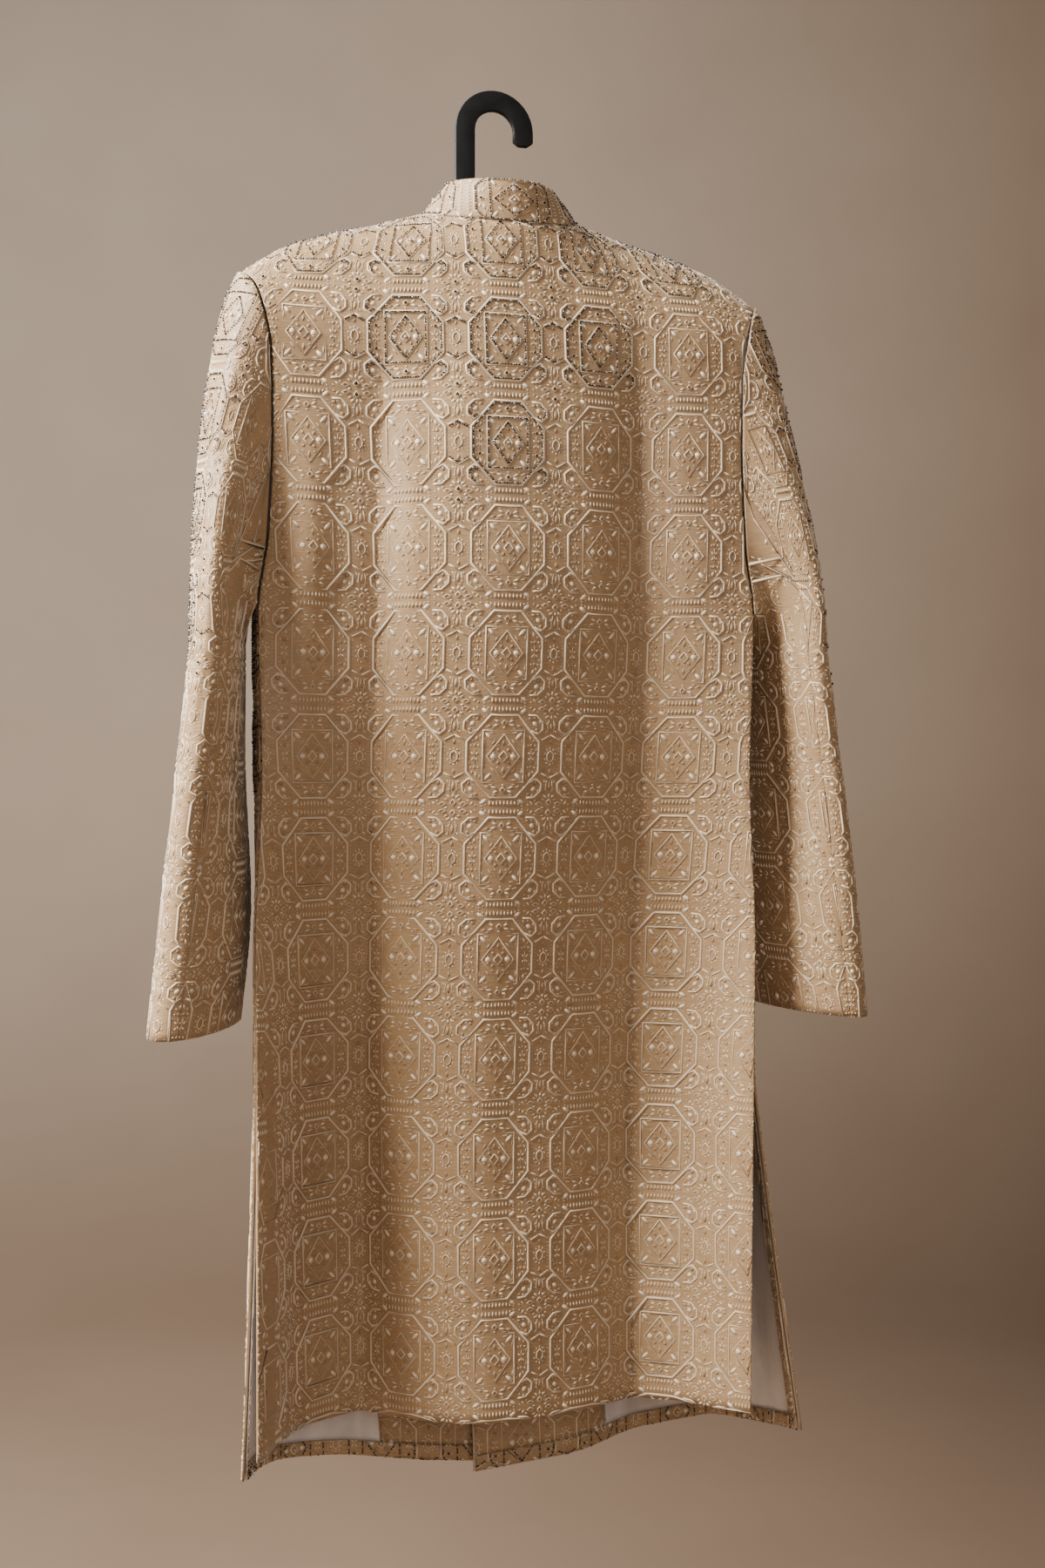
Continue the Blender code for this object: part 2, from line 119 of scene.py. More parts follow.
plastic, tree, shader = node_material("black_plastic", 0.55, Specular_IOR_Level=0.2)
moulding_place = tree.nodes.new("ShaderNodeTexCoord").outputs["Object"]
rubbed = noise(tree, moulding_place, 55.0, 4.0)
plastic_black = ramp(tree, rubbed, ((0.3, (0.002, 0.0022, 0.0026)), (0.75, (0.006, 0.0065, 0.0075))))
tree.links.new(plastic_black, shader.inputs["Base Color"])
bump(tree, shader, noise(tree, moulding_place, 900.0, 2.0), 0.08, 0.0002)
hanger_mesh = bmesh.new()
hanger_mesh.from_mesh(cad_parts["hanger"].data)
bmesh.ops.remove_doubles(hanger_mesh, verts=hanger_mesh.verts[:], dist=1e-5)
bmesh.ops.dissolve_limit(hanger_mesh, angle_limit=math.radians(2), verts=hanger_mesh.verts[:],
                         edges=hanger_mesh.edges[:])
walls = [edge for edge in hanger_mesh.edges if len(edge.link_faces) == 2]
rims = [edge for edge in walls if edge.calc_face_angle() > math.radians(60)]
bmesh.ops.bevel(hanger_mesh, geom=rims, offset=0.0009, segments=3, profile=0.5, affect="EDGES",
                clamp_overlap=True, material=-1)
hanger = finished("hanger_moulding", hanger_mesh, [plastic])
hanger.data.shade_flat()
hanger.data.set_sharp_from_angle(angle=math.radians(35))
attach(hanger, "root")
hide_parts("hanger")


# Silk
# Champagne dupion silk, woven with fine slubs across. Its embroidery is shiny thread in the same colour,
# which looks light or dark with the way the stitches lie; that sheen is painted into the thread's colour as
# painted sheen and painted shade. The coat is lined with satin.


def stretched(tree, source, scale):
    made = tree.nodes.new("ShaderNodeMapping")
    made.inputs["Scale"].default_value = scale
    tree.links.new(source, made.inputs["Vector"])
    return made.outputs["Vector"]


def multiply(tree, first, second, share=1.0):
    made = tree.nodes.new("ShaderNodeMix")
    made.data_type = "RGBA"
    made.blend_type = "MULTIPLY"
    made.inputs["Factor"].default_value = share
    tree.links.new(first, made.inputs["A"])
    tree.links.new(second, made.inputs["B"])
    return made.outputs["Result"]


GROUND_LOW = (0.280, 0.165, 0.075)
GROUND_HIGH = (0.450, 0.305, 0.165)
silk, tree, shader = node_material("dupion_silk", 0.52, Sheen_Weight=0.25, Sheen_Roughness=0.4)
cloth_uv = tree.nodes.new("ShaderNodeUVMap")
cloth_uv.uv_map = "cloth"
slubs = noise(tree, stretched(tree, cloth_uv.outputs["UV"], (90, 1400, 1)), 1.0, 3.0)
patches = noise(tree, cloth_uv.outputs["UV"], 9.0, 2.0)
ground = ramp(tree, slubs, ((0.3, GROUND_LOW), (0.7, GROUND_HIGH)))
shade = ramp(tree, patches, ((0.3, (0.86, 0.84, 0.82)), (0.7, (1.0, 1.0, 1.0))))
tree.links.new(multiply(tree, ground, shade), shader.inputs["Base Color"])
bump(tree, shader, slubs, 0.35, 0.0004)

# Painted sheen and painted shade: the thread is one colour, and these three levels paint it darker or
# lighter by how each element's stitches catch the light, picked by the tone stored on its vertices.
THREAD_PAINTED_SHADE = (0.300, 0.175, 0.085)
THREAD_PAINTED_HALF_SHEEN = (0.550, 0.400, 0.250)
THREAD_PAINTED_SHEEN = (0.790, 0.655, 0.490)
STITCH_PITCH = 0.0005
thread, tree, shader = node_material("silk_thread", 0.40, Sheen_Weight=0.2, Sheen_Roughness=0.3)
bead_tone_and_thread_sheen = tree.nodes.new("ShaderNodeAttribute")
bead_tone_and_thread_sheen.attribute_name = "bead_tone_and_thread_sheen"
thread_run = tree.nodes.new("ShaderNodeAttribute")
thread_run.attribute_name = "thread_run"
stitches = tree.nodes.new("ShaderNodeMath")
stitches.operation = "SINE"
pitch = tree.nodes.new("ShaderNodeMath")
pitch.operation = "MULTIPLY"
pitch.inputs[1].default_value = 2 * math.pi / STITCH_PITCH
tree.links.new(thread_run.outputs["Fac"], pitch.inputs[0])
tree.links.new(pitch.outputs["Value"], stitches.inputs[0])
thread_place = tree.nodes.new("ShaderNodeTexCoord")
uneven = noise(tree, thread_place.outputs["Object"], 60.0, 2.0)
shade = ramp(tree, uneven, ((0.3, (0.84, 0.82, 0.80)), (0.7, (1.0, 1.0, 1.0))))
THREAD_PAINTED_SHEEN_TONES = ((0.0, THREAD_PAINTED_SHADE), (0.5, THREAD_PAINTED_HALF_SHEEN), (1.0, THREAD_PAINTED_SHEEN))
colour = ramp(tree, bead_tone_and_thread_sheen.outputs["Fac"], THREAD_PAINTED_SHEEN_TONES)
tree.links.new(multiply(tree, colour, shade), shader.inputs["Base Color"])
bump(tree, shader, stitches.outputs["Value"], 0.25, 0.00015)

SATIN_LOW = (0.520, 0.480, 0.455)
SATIN_HIGH = (0.720, 0.675, 0.650)
satin, tree, shader = node_material("grey_satin", 0.34, Sheen_Weight=0.3, Anisotropic=0.4)
satin_place = tree.nodes.new("ShaderNodeTexCoord").outputs["Object"]
# Painted sheen: the satin's grey is mottled lighter and darker at random, standing for its uneven sheen.
satin_mottled_sheen = noise(tree, stretched(tree, satin_place, (30, 30, 12)), 1.0, 4.0)
creased = noise(tree, stretched(tree, satin_place, (160, 160, 45)), 1.0, 3.0)
satin_grey = ramp(tree, satin_mottled_sheen, ((0.35, SATIN_LOW), (0.65, SATIN_HIGH)))
tree.links.new(satin_grey, shader.inputs["Base Color"])
bump(tree, shader, creased, 0.35, 0.002)


# Embroidery
# Raised satin stitch: thick bundles of thread laid over cord, in a close all-over lattice of eight-sided
# medallions with a figure between every two. It was worked flat, a tile at a time, before the cutting.

ACROSS = 0.0855
DOWN = 0.0885


def mix(a, b, share):
    return a + (b - a) * share


# The tone given to each bundle of thread is painted sheen and painted shade: it sets how light or dark the
# one thread colour is drawn, for the way its stitches lie.
def stud(mesh, x, y, long, wide, high, turn=0.0, tone_and_sheen=0.8, sides=4):
    """One short bundle of thread, pointed at its two ends. Its sizes are half its length and width."""
    place = Matrix.Translation((x, y, 0)) @ Matrix.Rotation(turn, 4, "Z")
    shape = Matrix.Diagonal((long, wide, high, 1)) @ Matrix.Translation((0, 0, 0.5))
    made = bmesh.ops.create_cone(mesh, segments=sides, radius1=1, radius2=0, depth=1, cap_ends=True,
                                 cap_tris=True, matrix=place @ shape)
    painted_sheen_layer, runs = (mesh.verts.layers.float[name] for name in ("bead_tone_and_thread_sheen", "thread_run"))
    heading = Vector((math.cos(turn), math.sin(turn)))
    for vert in made["verts"]:
        vert[painted_sheen_layer] = tone_and_sheen
        vert[runs] = (vert.co.xy - Vector((x, y))).dot(heading)


def rib(mesh, path, width, high, tone_and_sheen=0.8, closed=False):
    """A bundle of thread along a path, three-sided, with mitred corners and shut ends."""
    path = [Vector(point) for point in path]
    count = len(path)
    stops = list(range(count)) + [0] if closed else [0, *range(count), count - 1]
    made = bmesh.ops.create_grid(mesh, x_segments=len(stops) - 1, y_segments=3, size=0.5)["verts"]
    painted_sheen_layer, runs = (mesh.verts.layers.float[name] for name in ("bead_tone_and_thread_sheen", "thread_run"))
    sides = []
    lengths = [0.0]
    for k in range(count):
        before = (path[k] - path[k - 1]).normalized() if closed or k else None
        after = (path[(k + 1) % count] - path[k]).normalized() if closed or k < count - 1 else None
        heading = ((before or after) + (after or before)).normalized()
        sides.append(Vector((-heading.y, heading.x)) / max(heading.dot(after or before), 0.5))
        lengths.append(lengths[-1] + (path[(k + 1) % count] - path[k]).length)
    for vert in made:
        stop = round((vert.co.x + 0.5) * (len(stops) - 1))
        turn = round((vert.co.y + 0.5) * 3) % 3
        k = stops[stop]
        full = 1.0 if closed or 0 < stop < len(stops) - 1 else 0.0
        out = (0.5, 0.0, -0.5)[turn] * width * full
        vert.co = (*(path[k] + sides[k] * out), high * full if turn == 1 else 0)
        vert[painted_sheen_layer] = tone_and_sheen
        vert[runs] = lengths[k]
    bmesh.ops.remove_doubles(mesh, verts=made, dist=1e-6)


def blank():
    mesh = bmesh.new()
    mesh.verts.layers.float.new("bead_tone_and_thread_sheen")
    mesh.verts.layers.float.new("thread_run")
    return mesh


MM = 0.001
RELIEF = 1.3 * MM


def mirrored(centre, places):
    """The places, given in one quarter, in all the quarters round the centre that differ."""
    flips = []
    for flip in ((1, 1), (-1, 1), (1, -1), (-1, -1)):
        copy = [(x * flip[0], y * flip[1]) for x, y in places]
        if all(sorted(copy) != sorted(other) for other in flips):
            flips.append(copy)
    return [[(MM * (centre[0] + x), MM * (centre[1] + y)) for x, y in copy] for copy in flips]


def petal(mesh, centre, start, end, wide, tone_and_sheen, high=0.9, sides=4):
    """A leaf from start to end in millimetres, in every quarter round the centre."""
    for (x0, y0), (x1, y1) in mirrored(centre, (start, end)):
        stud(mesh, (x0 + x1) / 2, (y0 + y1) / 2, math.hypot(x1 - x0, y1 - y0) * 0.56, wide * MM * 0.62,
             high * RELIEF, math.atan2(y1 - y0, x1 - x0), tone_and_sheen, sides)


def outline(mesh, centre, corners, width, high, tone_and_sheen):
    """A closed shape from its corners in one quarter, which the other quarters repeat."""
    flips = ((1, 1, 1), (1, -1, -1), (-1, -1, 1), (-1, 1, -1))
    path = [(x * sx, y * sy) for sx, sy, order in flips for x, y in corners[::order]]
    path = [place for k, place in enumerate(path) if place != path[k - 1]]
    path = [(MM * (centre[0] + x), MM * (centre[1] + y)) for x, y in path]
    rib(mesh, path, width * MM, high * RELIEF, tone_and_sheen, True)


def curve(mesh, centre, path, width, high, tone_and_sheen):
    for copy in mirrored(centre, path):
        rib(mesh, copy, width * MM, high * RELIEF, tone_and_sheen)


tile = blank()
MIDDLE, BESIDE, BELOW, CORNER = (0, 0), (42.75, 0), (0, 44.25), (42.75, 44.25)
# The medallion: its rings, and the cross at its heart
outline(tile, MIDDLE, ((11.8, 35.6), (31.9, 12.9)), 2.6, 1.1, 0.85)
outline(tile, MIDDLE, ((18.2, 22.5),), 1.8, 0.9, 0.75)
outline(tile, MIDDLE, ((0.0, 19.0), (14.6, 0.0)), 1.5, 0.8, 0.65)
outline(tile, MIDDLE, ((0.0, 4.6), (4.0, 0.0)), 1.3, 0.8, 0.9)
petal(tile, MIDDLE, (5.4, 0.0), (12.4, 0.0), 6.4, 1.0, 1.0, 6)
petal(tile, MIDDLE, (2.6, 3.4), (6.6, 7.4), 4.2, 0.1, 0.8, 4)
petal(tile, MIDDLE, (0.0, 7.5), (0.0, 16.5), 3.4, 0.2, 0.8, 4)
petal(tile, MIDDLE, (17.2, 21.3), (9.8, 13.8), 3.6, 1.0, 1.0, 6)
petal(tile, MIDDLE, (15.8, 20.6), (5.0, 20.2), 1.8, 0.6, 0.6)
petal(tile, MIDDLE, (16.6, 19.0), (16.4, 8.0), 1.8, 0.6, 0.6)
# The flowers between the medallion's rings
for y in (29, -29):
    outline(tile, (0, y), ((0.0, 2.4), (2.2, 0.0)), 1.2, 0.8, 0.7)
# Each leaf: start, end, width, and a tone that paints its thread lighter or darker, as painted sheen for the
# way its stitches lie.
LEAVES = (
    ((3.4, 29.3), (9.5, 31.8), 2.6, 1.0), ((3.2, 28.0), (11.5, 25.5), 2.4, 0.8),
    ((9.5, 27.0), (17.5, 25.2), 2.0, 0.4), ((0.0, 23.5), (0.0, 26.0), 2.2, 0.9),
    ((21.0, 9.5), (23.0, 9.5), 2.0, 0.9), ((27.2, 9.5), (29.4, 9.5), 2.0, 0.9),
    ((25.0, 12.5), (22.5, 19.0), 2.4, 0.8), ((25.0, 0.5), (21.5, 4.2), 1.8, 0.9),
    ((25.0, 0.5), (28.5, 4.2), 1.8, 0.9), ((25.6, 12.0), (28.2, 15.2), 1.9, 0.5),
)
for start, end, wide, tone_and_sheen in LEAVES:
    petal(tile, MIDDLE, start, end, wide, tone_and_sheen)
petal(tile, MIDDLE, (22.9, 9.5), (27.1, 9.5), 4.2, 0.15, 0.7, 6)
curve(tile, MIDDLE, ((25.0, 0.0), (25.0, 6.5)), 0.9, 0.6, 0.6)
# The figure between two medallions side by side
curve(tile, BESIDE, ((8.5, 14.2), (0.0, 18.6)), 2.0, 0.9, 0.8)
outline(tile, BESIDE, ((0.0, 5.0), (2.6, 2.6), (3.1, 0.0)), 1.3, 0.9, 0.9)
for turn in (20, 55, 90):
    c = math.cos(math.radians(turn)) if turn < 90 else 0.0
    s = math.sin(math.radians(turn))
    petal(tile, BESIDE, (3.6 * c, 5.4 * s), (6.8 * c, 8.8 * s), 1.9, 0.85, 0.7)
petal(tile, BESIDE, (0.0, 9.4), (0.0, 16.5), 3.2, 0.15)
petal(tile, BESIDE, (0.0, 20.2), (0.0, 31.0), 3.6, 0.25, 0.9, 6)
curve(tile, BESIDE, ((2.4, 20.5), (3.2, 26.0), (2.0, 32.5)), 1.0, 0.6, 0.75)
# The bands between two medallions one over the other
for x in (1.6, 4.8, 8.0, 11.2):
    petal(tile, BELOW, (x, 0.7), (x, 6.9), 1.5, 0.95, 1.2)
petal(tile, MIDDLE, (12.8, 36.5), (20.5, 41.5), 4.0, 1.0, 1.0, 6)
# The cluster between four medallions
for flip in (1, -1):
    outline(tile, (42.75, 44.25 + 4.5 * flip), ((0.0, 2.6), (2.4, 0.0)), 1.3, 0.8, 0.8)
for turn, reach in ((0, 8.0), (32, 9.5), (62, 11.0), (90, 11.5)):
    c = math.cos(math.radians(turn)) if turn < 90 else 0.0
    s = math.sin(math.radians(turn))
    start = (3.6 * c, 4.5 * (turn > 0) + 3.4 * s)
    end = (reach * c, 4.5 * (turn > 0) + (reach - 3.0) * s)
    petal(tile, CORNER, start, end, 2.5, 0.95 if turn != 32 else 0.5)
for x, y in ((33.8, 41.2), (33.8, -41.2), (-33.8, 41.2), (-33.8, -41.2)):
    outline(tile, (x, y), ((0.0, 1.8), (3.2, 0.0)), 1.1, 0.7, 0.7)
# The paisley in each corner of the lattice
PAISLEY = ((24.0, 22.5), (29.8, 19.0), (35.1, 23.4), (34.6, 30.0), (28.8, 35.3), (21.5, 35.8))
curve(tile, MIDDLE, PAISLEY, 2.3, 1.0, 0.85)
petal(tile, MIDDLE, (27.4, 22.8), (32.2, 22.8), 4.6, 0.1, 0.9, 6)
petal(tile, MIDDLE, (29.8, 26.0), (25.5, 30.5), 4.5, 1.0, 1.0, 6)
petal(tile, MIDDLE, (26.0, 31.5), (20.5, 33.5), 3.4, 0.2)
# Small leaves that fill the ground between the figures
# As above, each leaf's tone is painted sheen.
SMALL_LEAVES = (
    ((5.6, 16.2), (12.4, 7.8), 1.5, 0.45), ((36.6, 19.6), (40.2, 23.6), 2.0, 0.8),
    ((37.6, 26.4), (40.6, 30.4), 2.0, 0.6), ((36.8, 32.2), (39.6, 36.2), 2.2, 0.8),
    ((31.8, 37.2), (27.4, 39.4), 2.0, 0.7), ((24.4, 38.0), (28.6, 42.6), 2.2, 0.9),
    ((22.2, 40.4), (24.6, 43.4), 1.8, 0.5), ((14.2, 39.4), (14.8, 43.4), 2.0, 0.7),
    ((17.4, 41.4), (18.4, 44.0), 1.8, 0.6), ((6.0, 1.6), (12.0, 4.4), 1.4, 0.5),
    ((3.0, 11.0), (7.0, 8.4), 1.5, 0.6), ((20.6, 14.6), (20.6, 20.6), 1.5, 0.5),
    ((6.4, 24.2), (13.4, 24.2), 1.4, 0.5), ((4.4, 33.2), (10.2, 33.2), 1.3, 0.5),
    ((28.6, 3.0), (30.6, 9.0), 1.3, 0.5), ((33.4, 26.8), (31.2, 33.0), 2.6, 0.75),
    ((27.6, 21.2), (32.4, 20.6), 2.0, 0.8), ((24.6, 33.8), (29.0, 33.2), 2.2, 0.95),
)
for start, end, wide, tone_and_sheen in SMALL_LEAVES:
    petal(tile, MIDDLE, start, end, wide, tone_and_sheen, 0.7)
# The dotted line round the medallion
for k in range(5):
    petal(tile, MIDDLE, (34.3, 1.55 + 3.1 * k), (35.5, 1.55 + 3.1 * k), 1.2, 0.9, 0.6)
for k in range(10):
    x, y = mix(33.6, 15.5, k / 9), mix(15.6, 36.2, k / 9)
    petal(tile, MIDDLE, (x - 0.6, y), (x + 0.6, y), 1.2, 0.9, 0.6)
tile_mesh = bpy.data.meshes.new("embroidery_tile")
tile.to_mesh(tile_mesh)
tile.free()


def sample(values, row, col):
    """Values of a grid at rows and columns between its own, and straight on past its edges."""
    high, wide = values.shape[:2]
    r = np.clip(np.floor(row), 0, high - 2).astype(int)
    c = np.clip(np.floor(col), 0, wide - 2).astype(int)
    u, v = row - r, col - c
    if values.ndim == 3:
        u, v = u[..., None], v[..., None]
    upper = mix(values[r, c], values[r, c + 1], v)
    lower = mix(values[r + 1, c], values[r + 1, c + 1], v)
    return mix(upper, lower, u)


def find(cloth, round_, down):
    """The row and column of places given by their lengths round and down the cloth."""
    high, wide = cloth["round"].shape
    slopes = [np.gradient(cloth[name], axis=axis) for name in ("round", "down") for axis in (0, 1)]
    row = np.interp(down, cloth["down"][:, wide // 2], np.arange(high))
    col = np.interp(round_, cloth["round"][high // 2], np.arange(wide))
    for _ in range(12):
        off_round = sample(cloth["round"], row, col) - round_
        off_down = sample(cloth["down"], row, col) - down
        inside_row, inside_col = np.clip(row, 0, high - 1), np.clip(col, 0, wide - 1)
        a, b, c, d = (sample(slope, inside_row, inside_col) for slope in slopes)
        size = a * d - b * c
        size = np.where(np.abs(size) < 1e-9, 1e-9, size)
        row = np.clip(row - (d * off_round - b * off_down) / size, -30, high + 30)
        col = np.clip(col - (a * off_down - c * off_round) / size, -30, wide + 30)
    return row, col


def laid(name, cloth, pattern, places, surface, turned=False, sunk=0.0003):
    """The pattern worked on a cloth at each place, given round and down it. Past an edge it is cut off."""
    mesh = blank()
    for round_, down in places:
        copy = pattern.copy()
        turn = Matrix.Rotation(math.radians(90 if turned else 0), 4, "Z")
        copy.transform(Matrix.Translation((round_, down, 0)) @ turn)
        mesh.from_mesh(copy)
        bpy.data.meshes.remove(copy)
    mesh.verts.index_update()
    flat = np.array([vert.co for vert in mesh.verts])
    high, wide = cloth["round"].shape
    row, col = find(cloth, flat[:, 0], flat[:, 1])
    outside = (row < 0) | (row > high - 1) | (col < 0) | (col > wide - 1)
    row, col = np.clip(row, 0, high - 1), np.clip(col, 0, wide - 1)
    normal = sample(cloth["normal"], row, col)
    normal /= np.linalg.norm(normal, axis=-1, keepdims=True)
    place = sample(cloth["place"], row, col) + normal * (flat[:, 2:] - sunk)
    for vert, spot in zip(mesh.verts, place):
        vert.co = spot
    for edge in mesh.edges:
        a, b = (vert.index for vert in edge.verts)
        edge.tag = edge.calc_length() > 1.7 * math.dist(flat[a], flat[b]) + 0.0004
    gone = [face for face in mesh.faces if all(outside[vert.index] for vert in face.verts)
            or any(edge.tag for edge in face.edges)]
    bmesh.ops.delete(mesh, geom=gone, context="FACES")
    bmesh.ops.holes_fill(mesh, edges=[edge for edge in mesh.edges if edge.is_boundary], sides=0)
    bmesh.ops.dissolve_degenerate(mesh, dist=1e-6, edges=mesh.edges[:])
    bmesh.ops.recalc_face_normals(mesh, faces=mesh.faces[:])
    return finished(name, mesh, [surface])


# Beadwork
# Steel-grey tube beads strung in lines beside the medallions' rings, with black seed beads in the
# flowers' eyes and a crystal at each medallion's heart. They are couched down by hand over the thread.

beads, tree, shader = node_material("tube_beads", 0.22, Metallic=0.75)
bead_tone = tree.nodes.new("ShaderNodeAttribute")
bead_tone.attribute_name = "bead_tone_and_thread_sheen"
STEEL = ((0.0, (0.020, 0.018, 0.020)), (0.5, (0.160, 0.150, 0.150)), (1.0, (0.620, 0.610, 0.600)))
tree.links.new(ramp(tree, bead_tone.outputs["Fac"], STEEL), shader.inputs["Base Color"])


# For beads the tone is their own colour, from black through steel grey to a bright crystal.
def bead(mesh, x, y, long, wide, turn, tone_and_sheen, lift=0.9):
    place = Matrix.Translation((x, y, lift * MM)) @ Matrix.Rotation(turn, 4, "Z")
    shape = Matrix.Diagonal((long, wide, wide, 1))
    # The sphere's poles lie along the bead
    lying = Matrix.Rotation(math.radians(90), 4, "Y")
    made = bmesh.ops.create_uvsphere(mesh, u_segments=4, v_segments=2, radius=1,
                                     matrix=place @ shape @ lying)
    layer = mesh.verts.layers.float["bead_tone_and_thread_sheen"]
    for vert in made["verts"]:
        vert[layer] = tone_and_sheen


def strung(mesh, centre, path):
    """A line of beads, dark and bright in turn, in every quarter round the centre."""
    for copy in mirrored(centre, path):
        count = 0
        for (x0, y0), (x1, y1) in zip(copy, copy[1:]):
            length = math.hypot(x1 - x0, y1 - y0)
            number = max(round(length / (2.4 * MM)), 1)
            for k in range(number):
                share = (k + 0.5) / number
                bead(mesh, mix(x0, x1, share), mix(y0, y1, share), 1.2 * MM, 0.9 * MM,
                     math.atan2(y1 - y0, x1 - x0), (0.0, 0.10, 0.85)[count % 3])
                count += 1


bead_tile = blank()
strung(bead_tile, MIDDLE, ((0.0, 33.7), (11.2, 33.7), (30.0, 12.4), (30.0, 0.0)))
strung(bead_tile, MIDDLE, ((0.0, 21.2), (17.0, 21.2), (17.0, 0.0)))
strung(bead_tile, MIDDLE, ((0.0, 17.4), (13.2, 0.0)))
strung(bead_tile, BESIDE, ((8.2, 12.6), (0.0, 16.9)))
strung(bead_tile, MIDDLE, ((26.0, 23.6), (30.0, 21.0), (33.2, 24.4), (32.6, 29.4), (28.2, 33.4)))
for spot in ((0.0, 29.0), (25.0, 9.5)):
    for (x, y), in mirrored(MIDDLE, (spot,)):
        bead(bead_tile, x, y, 1.2 * MM, 1.2 * MM, 0, 0.0, 1.0)
for flip in (1, -1):
    bead(bead_tile, 42.75 * MM, (44.25 + 4.5 * flip) * MM, 1.3 * MM, 1.3 * MM, 0, 0.0, 1.0)
bead(bead_tile, 0, 0, 1.8 * MM, 1.8 * MM, 0, 1.0, 1.0)
bead_mesh = bpy.data.meshes.new("bead_tile")
bead_tile.to_mesh(bead_mesh)
bead_tile.free()


# Back
# The back is one panel of embroidered silk between the side seams, cut straight at the hem. Two soft
# vertical folds hang from the shoulder blades and deepen to the hem. Every cut piece is a surface worked out
# from sections of the hanging coat, with lengths round and down it that follow the weave.

CENTRE = -0.006
CLOTH = 0.002
TIP = 0.2305
SHOULDER_Z = -0.161
BACK_HEM_Z = -1.151
BACK_TOP_Z = -0.210
NECK = 0.071
NECK_BACK = (0.050, -0.109)
NECK_SIDE_Z = -0.096
# A medallion's heart lies at this height on every cut piece of the body, this far down its cloth
MEDALLION_Z = -0.567
MEDALLION_DOWN = 0.4425
SHOULDER = ((0.071, -0.096), (0.110, -0.109), (0.150, -0.1205), (0.190, -0.135), (0.215, -0.150),
            (TIP, SHOULDER_Z))
# z, and half the back's width there
BACK_WIDTH = ((-0.161, 0.2305), (-0.185, 0.2185), (-0.230, 0.2080), (-0.300, 0.2060), (-0.380, 0.2085),
              (-0.445, 0.2165), (-0.580, 0.2135), (-0.735, 0.2200), (-1.151, 0.2195))
# z, then the depth at nine places across, from the left side seam to the right one
BACK = (
    (-0.210, 0.046, 0.048, 0.052, 0.056, 0.065, 0.058, 0.053, 0.053, 0.047),
    (-0.300, 0.038, 0.043, 0.042, 0.058, 0.070, 0.062, 0.049, 0.056, 0.052),
    (-0.390, 0.029, 0.040, 0.034, 0.056, 0.069, 0.061, 0.045, 0.058, 0.054),
    (-0.480, 0.024, 0.029, 0.022, 0.046, 0.060, 0.050, 0.034, 0.049, 0.055),
    (-0.570, 0.026, 0.015, 0.006, 0.031, 0.047, 0.036, 0.019, 0.035, 0.054),
    (-0.660, 0.031, 0.002, -0.010, 0.017, 0.036, 0.020, 0.001, 0.018, 0.052),
    (-0.750, 0.038, -0.010, -0.026, 0.003, 0.025, 0.008, -0.012, 0.004, 0.050),
    (-0.920, 0.046, -0.026, -0.050, -0.019, 0.010, -0.006, -0.028, -0.011, 0.046),
    (-1.151, 0.048, -0.036, -0.065, -0.032, 0.003, -0.011, -0.033, -0.014, 0.041),
)
# Where the seven places between the seams stand, at the top and at the hem
BACK_X_TOP = (0.160, 0.1125, 0.083, 0.005, -0.080, -0.116, -0.160)
BACK_X_HEM = (0.160, 0.1060, 0.074, 0.003, -0.084, -0.140, -0.172)
# Small folds: x and z where each starts and ends, its width and depth. A negative depth stands out.
BACK_FOLDS = (
    (0.143, -0.260, 0.148, -0.620, 0.014, 0.0035), (0.172, -0.270, 0.176, -0.560, 0.012, -0.0030),
    (-0.153, -0.300, -0.150, -0.520, 0.016, 0.0025), (0.030, -0.150, 0.060, -0.420, 0.022, -0.0020),
    (-0.050, -0.180, -0.075, -0.460, 0.020, -0.0018), (-0.020, -0.640, -0.012, -1.140, 0.030, 0.0030),
    (0.165, -0.760, 0.172, -1.145, 0.022, 0.0030), (-0.192, -0.700, -0.196, -1.140, 0.018, 0.0028),
    (0.045, -0.860, 0.038, -1.148, 0.016, -0.0018),
)


def column(table, number):
    return [row[number] for row in table]


def through(keys, values, at):
    """A smooth curve through the values at keys that steadily rise or fall. The values are one per key,
    or one row per key with a column for each place in at."""
    keys, values, at = (np.asarray(given, float) for given in (keys, values, at))
    if keys[0] > keys[-1]:
        keys, values = keys[::-1], values[::-1]
    shape, at = at.shape, np.clip(at.ravel(), keys[0], keys[-1])
    values = values.reshape(len(keys), -1) + np.zeros(len(at))
    gaps = np.diff(keys)
    steps = np.diff(values, axis=0) / gaps[:, None]
    before, after = steps[:-1], steps[1:]
    same_way = before * after > 0
    middle = np.where(same_way, 2 * before * after / np.where(same_way, before + after, 1), 0)
    slopes = np.concatenate((steps[:1], middle, steps[-1:]))
    i = np.clip(np.searchsorted(keys, at, side="right") - 1, 0, len(keys) - 2)
    here, u = np.arange(len(at)), (at - keys[i]) / gaps[i]
    bend = (values[i + 1, here] - values[i, here]) * (3 * u * u - 2 * u**3)
    ease = u * (1 - u) * (slopes[i, here] * (1 - u) - slopes[i + 1, here] * u)
    return (values[i, here] + bend + gaps[i] * ease).reshape(shape)


def along_table(table, number, at):
    return through(column(table, 0), column(table, number), at)


def points(x, y, z):
    return np.stack(np.broadcast_arrays(x, y, z), axis=-1).astype(float)


def fall(top, bottom, share, roundness):
    """From top to bottom: straight at roundness 0, and at 1 level first and then down."""
    turn = math.radians(90 * share)
    out = mix(share, math.sin(turn), roundness)[:, None]
    down = mix(share, 1 - math.cos(turn), roundness)
    made = mix(top, bottom, out)
    made[:, 2] = mix(top[:, 2], bottom[:, 2], down)
    return made


